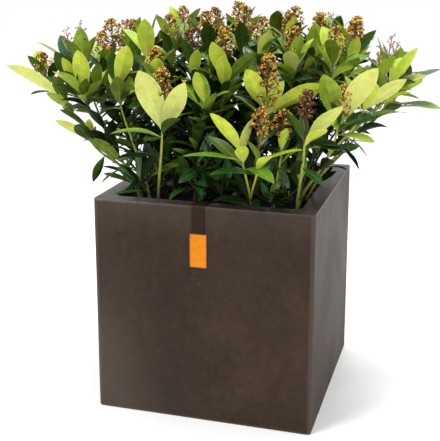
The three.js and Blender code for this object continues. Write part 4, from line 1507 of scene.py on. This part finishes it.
def makeSoil():
    half = (pot["side"] / 2 - pot["wall"] - gap) * mm
    straight = half - (pot["innerRound"] - gap) * mm
    bpy.ops.mesh.primitive_grid_add(x_subdivisions=soilLook["rows"], y_subdivisions=soilLook["rows"],
                                    size=2 * half, location=(0, 0, soilTop * mm))
    piece = startPiece("potting_soil")
    draw = np.random.default_rng(seeds["soil"])
    waves = [(draw.uniform(*soilLook["waveRate"], 2) * draw.choice([-1, 1], 2), draw.uniform(0, 6.28))
             for _ in range(soilLook["waves"])]
    grit = soilLook["grit"]
    for vertex in piece.data.vertices:
        x, y = vertex.co.x, vertex.co.y
        overX, overY = abs(x) - straight, abs(y) - straight
        if overX > 0 and overY > 0:  # corners are drawn in to the pot's round corners
            reach = max(overX, overY) / math.hypot(overX, overY)
            vertex.co.x = math.copysign(straight + overX * reach, x)
            vertex.co.y = math.copysign(straight + overY * reach, y)
        wave = sum(math.sin(k[0] * x + k[1] * y + phase) for k, phase in waves) / len(waves)
        rise = wave * soilLook["waveHeight"] + draw.uniform(-grit, grit) - soilLook["sink"]
        nearWall = min(1.0, (half - max(abs(x), abs(y))) / soilLook["wallFade"])
        vertex.co.z += rise * mm * max(nearWall, soilLook["leastRough"])
    bpy.ops.object.mode_set(mode="EDIT")
    bpy.ops.mesh.select_mode(type="EDGE")
    bpy.ops.mesh.select_all(action="DESELECT")
    bpy.ops.mesh.select_non_manifold(extend=False)
    extrude(0, 0, -0.02)
    bpy.ops.transform.resize(value=(1, 1, 0), center_override=(0, 0, (pot["base"] + gap) * mm))
    bpy.ops.mesh.edge_face_add()
    bpy.ops.mesh.select_all(action="SELECT")
    bpy.ops.mesh.normals_make_consistent(inside=False)
    piece.data.materials.append(speckledMaterial(
        "dampSoil", *soilLook["damp"], roughness=0.95, scale=260, bump=0.8, depth=0.002,
        Specular_IOR_Level=0.15))
    endPiece(piece, 60)
    settle(piece, ["soil"])


def makeCrumbs():
    # crumbs of peat and bark on the soil
    draw = np.random.default_rng(seeds["crumbs"])
    reach = pot["side"] / 2 - pot["wall"] - soilLook["crumbMargin"]
    parts = []
    for _ in range(soilLook["crumbs"]):
        size = draw.uniform(*soilLook["crumbSize"]) * draw.uniform(0.5, 1)
        x, y = (draw.uniform(-reach, reach) for _ in range(2))
        centre = np.array([x, y, soilTop + soilLook["crumbRest"] + size * 0.3])
        verts = budPart(centre, unit(draw.normal(size=3)), 1.0, 0)[0]
        verts = centre + (verts - centre) * size * draw.uniform(*soilLook["crumbStretch"], 3)
        verts[:, 2] = np.maximum(verts[:, 2], soilTop - soilLook["crumbDepth"])
        looks = (int(draw.random() < soilLook["barkShare"]) for _ in range(2))
        parts.append((verts, budQuads, budTris, *looks, None))
    looks = [
        speckledMaterial("peatCrumb", *soilLook["peat"], roughness=0.9, scale=300),
        speckledMaterial("barkCrumb", *soilLook["barkChip"], roughness=0.85, scale=300),
    ]
    settle(makePiece("soil_crumbs", parts, looks, 25), [])


# label: a plain strap over the rim and a plain tag under it

label = {
    "x": -4,
    "thick": 1,
    "clear": 0.4,
    "width": 23,
    "hangInside": 11,
    "drop": 49,
    "bendStep": 2,
    "softEdge": 0.25,
    "rubber": ((0.016, 0.0085, 0.005), (0.028, 0.016, 0.010)),
    "tagWidth": 31,
    "tagHeight": 61,
    "tagCorner": 2.2,
    "tagBorder": 2.2,
    "tagInsets": ((1.2, 0), (0.3, -0.2)),  # how far in and how deep
    "orange": ((0.56, 0.17, 0.002), (0.62, 0.205, 0.003)),
    # painted shade for the tag's sides and the rim of its face
    "orangeEdgeShade": ((0.20, 0.045, 0.003), (0.32, 0.085, 0.005)),
}


def makeStrap():
    top = pot["height"] * mm + label["clear"] * mm
    inner = -(pot["side"] / 2 - pot["wall"] - label["clear"]) * mm
    bendY = -(pot["side"] / 2 - pot["edgeRound"]) * mm
    bendZ = (pot["height"] - pot["edgeRound"]) * mm
    low = (pot["height"] - label["hangInside"]) * mm
    step = label["bendStep"] * mm
    hang = top - step - low
    bpy.ops.mesh.primitive_plane_add(size=1, location=(label["x"] * mm, inner, low + hang / 2),
                                     rotation=(math.radians(90), 0, 0))
    bpy.context.object.scale = (label["width"] * mm, hang, 1)
    piece = startPiece("label_strap_band")
    # the top edge is drawn up, over the rim, round its edge and down the front
    pickIn(piece, "EDGE", lambda c, d: c.z > low + hang * 0.9)
    extrude(0, 0, step)
    extrude(0, -step, 0)
    extrude(0, bendY - inner + step, 0)
    bpy.ops.mesh.spin(steps=8, angle=-math.pi / 2, center=(0, bendY, bendZ), axis=(1, 0, 0))
    extrude(0, 0, -step)
    extrude(0, 0, -(label["drop"] - pot["edgeRound"]) * mm + step)
    bpy.ops.mesh.select_all(action="SELECT")
    bpy.ops.mesh.remove_doubles(threshold=0.00005)
    bpy.ops.mesh.normals_make_consistent(inside=False)
    bpy.ops.object.mode_set(mode="OBJECT")
    front = min(piece.data.polygons, key=lambda face: face.center.y)
    finishWith(piece, "SOLIDIFY", thickness=label["thick"] * mm, offset=1 if front.normal.y < 0 else -1)
    finishWith(piece, "BEVEL", width=label["softEdge"] * mm, segments=2)
    piece.data.materials.append(speckledMaterial(
        "strapRubber", *label["rubber"], roughness=0.6, scale=700, bump=0.15, depth=0.0002,
        Specular_IOR_Level=0.08))
    endPiece(piece, 40)
    settle(piece, ["label_strap"])


def makeTag():
    face = -(pot["side"] / 2 + label["clear"]) * mm
    width, height, thick = label["tagWidth"] * mm, label["tagHeight"] * mm, label["thick"] * mm
    middle = (pot["height"] - label["drop"] - gap) * mm - height / 2
    bpy.ops.mesh.primitive_cube_add(size=1, location=(label["x"] * mm, face - thick / 2, middle),
                                    scale=(width, thick, height))
    piece = startPiece("label_tag_plate")
    pickIn(piece, "EDGE", lambda c, d: abs(d.y) > 0.9)
    bpy.ops.mesh.bevel(offset=label["tagCorner"] * mm, segments=5, affect="EDGES")
    pickIn(piece, "FACE", lambda c, n: n.y < -0.9)
    for inward, deep in label["tagInsets"]:
        bpy.ops.mesh.inset(thickness=inward * mm, depth=deep * mm)
    bpy.ops.object.mode_set(mode="OBJECT")
    piece.data.materials.append(speckledMaterial(
        "tagOrange", *label["orange"], roughness=0.55, scale=120, bump=0.1, depth=0.0002,
        Specular_IOR_Level=0.15))
    piece.data.materials.append(speckledMaterial(
        "tagEdgePaintedShade", *label["orangeEdgeShade"], roughness=0.5, scale=300, bump=0.1, depth=0.0002))
    # the tag's sides and a thin border of its face take the darker orange, painted shade along its edge
    border = label["tagBorder"] * mm
    for polygon in piece.data.polygons:
        insideX = abs(polygon.center.x - label["x"] * mm) < width / 2 - border
        insideZ = abs(polygon.center.z - middle) < height / 2 - border
        polygon.material_index = 0 if polygon.normal.y < -0.9 and insideX and insideZ else 1
    endPiece(piece, 40)
    settle(piece, ["label_tag"])


def makeFloor():
    bpy.ops.mesh.primitive_plane_add(size=studio["floorSize"], location=(0, 0, 0))
    piece = startPiece("pale_floor")
    piece.data.materials.append(speckledMaterial(
        "paleFloor", *studio["floorTones"], roughness=0.8, scale=6, bump=0.02))
    bpy.ops.object.select_all(action="DESELECT")


bpy.ops.object.select_all(action="DESELECT")
makePot()
makeSoil()
makeCrumbs()
makeStrap()
makeTag()
makeFloor()

print("all pieces in place")
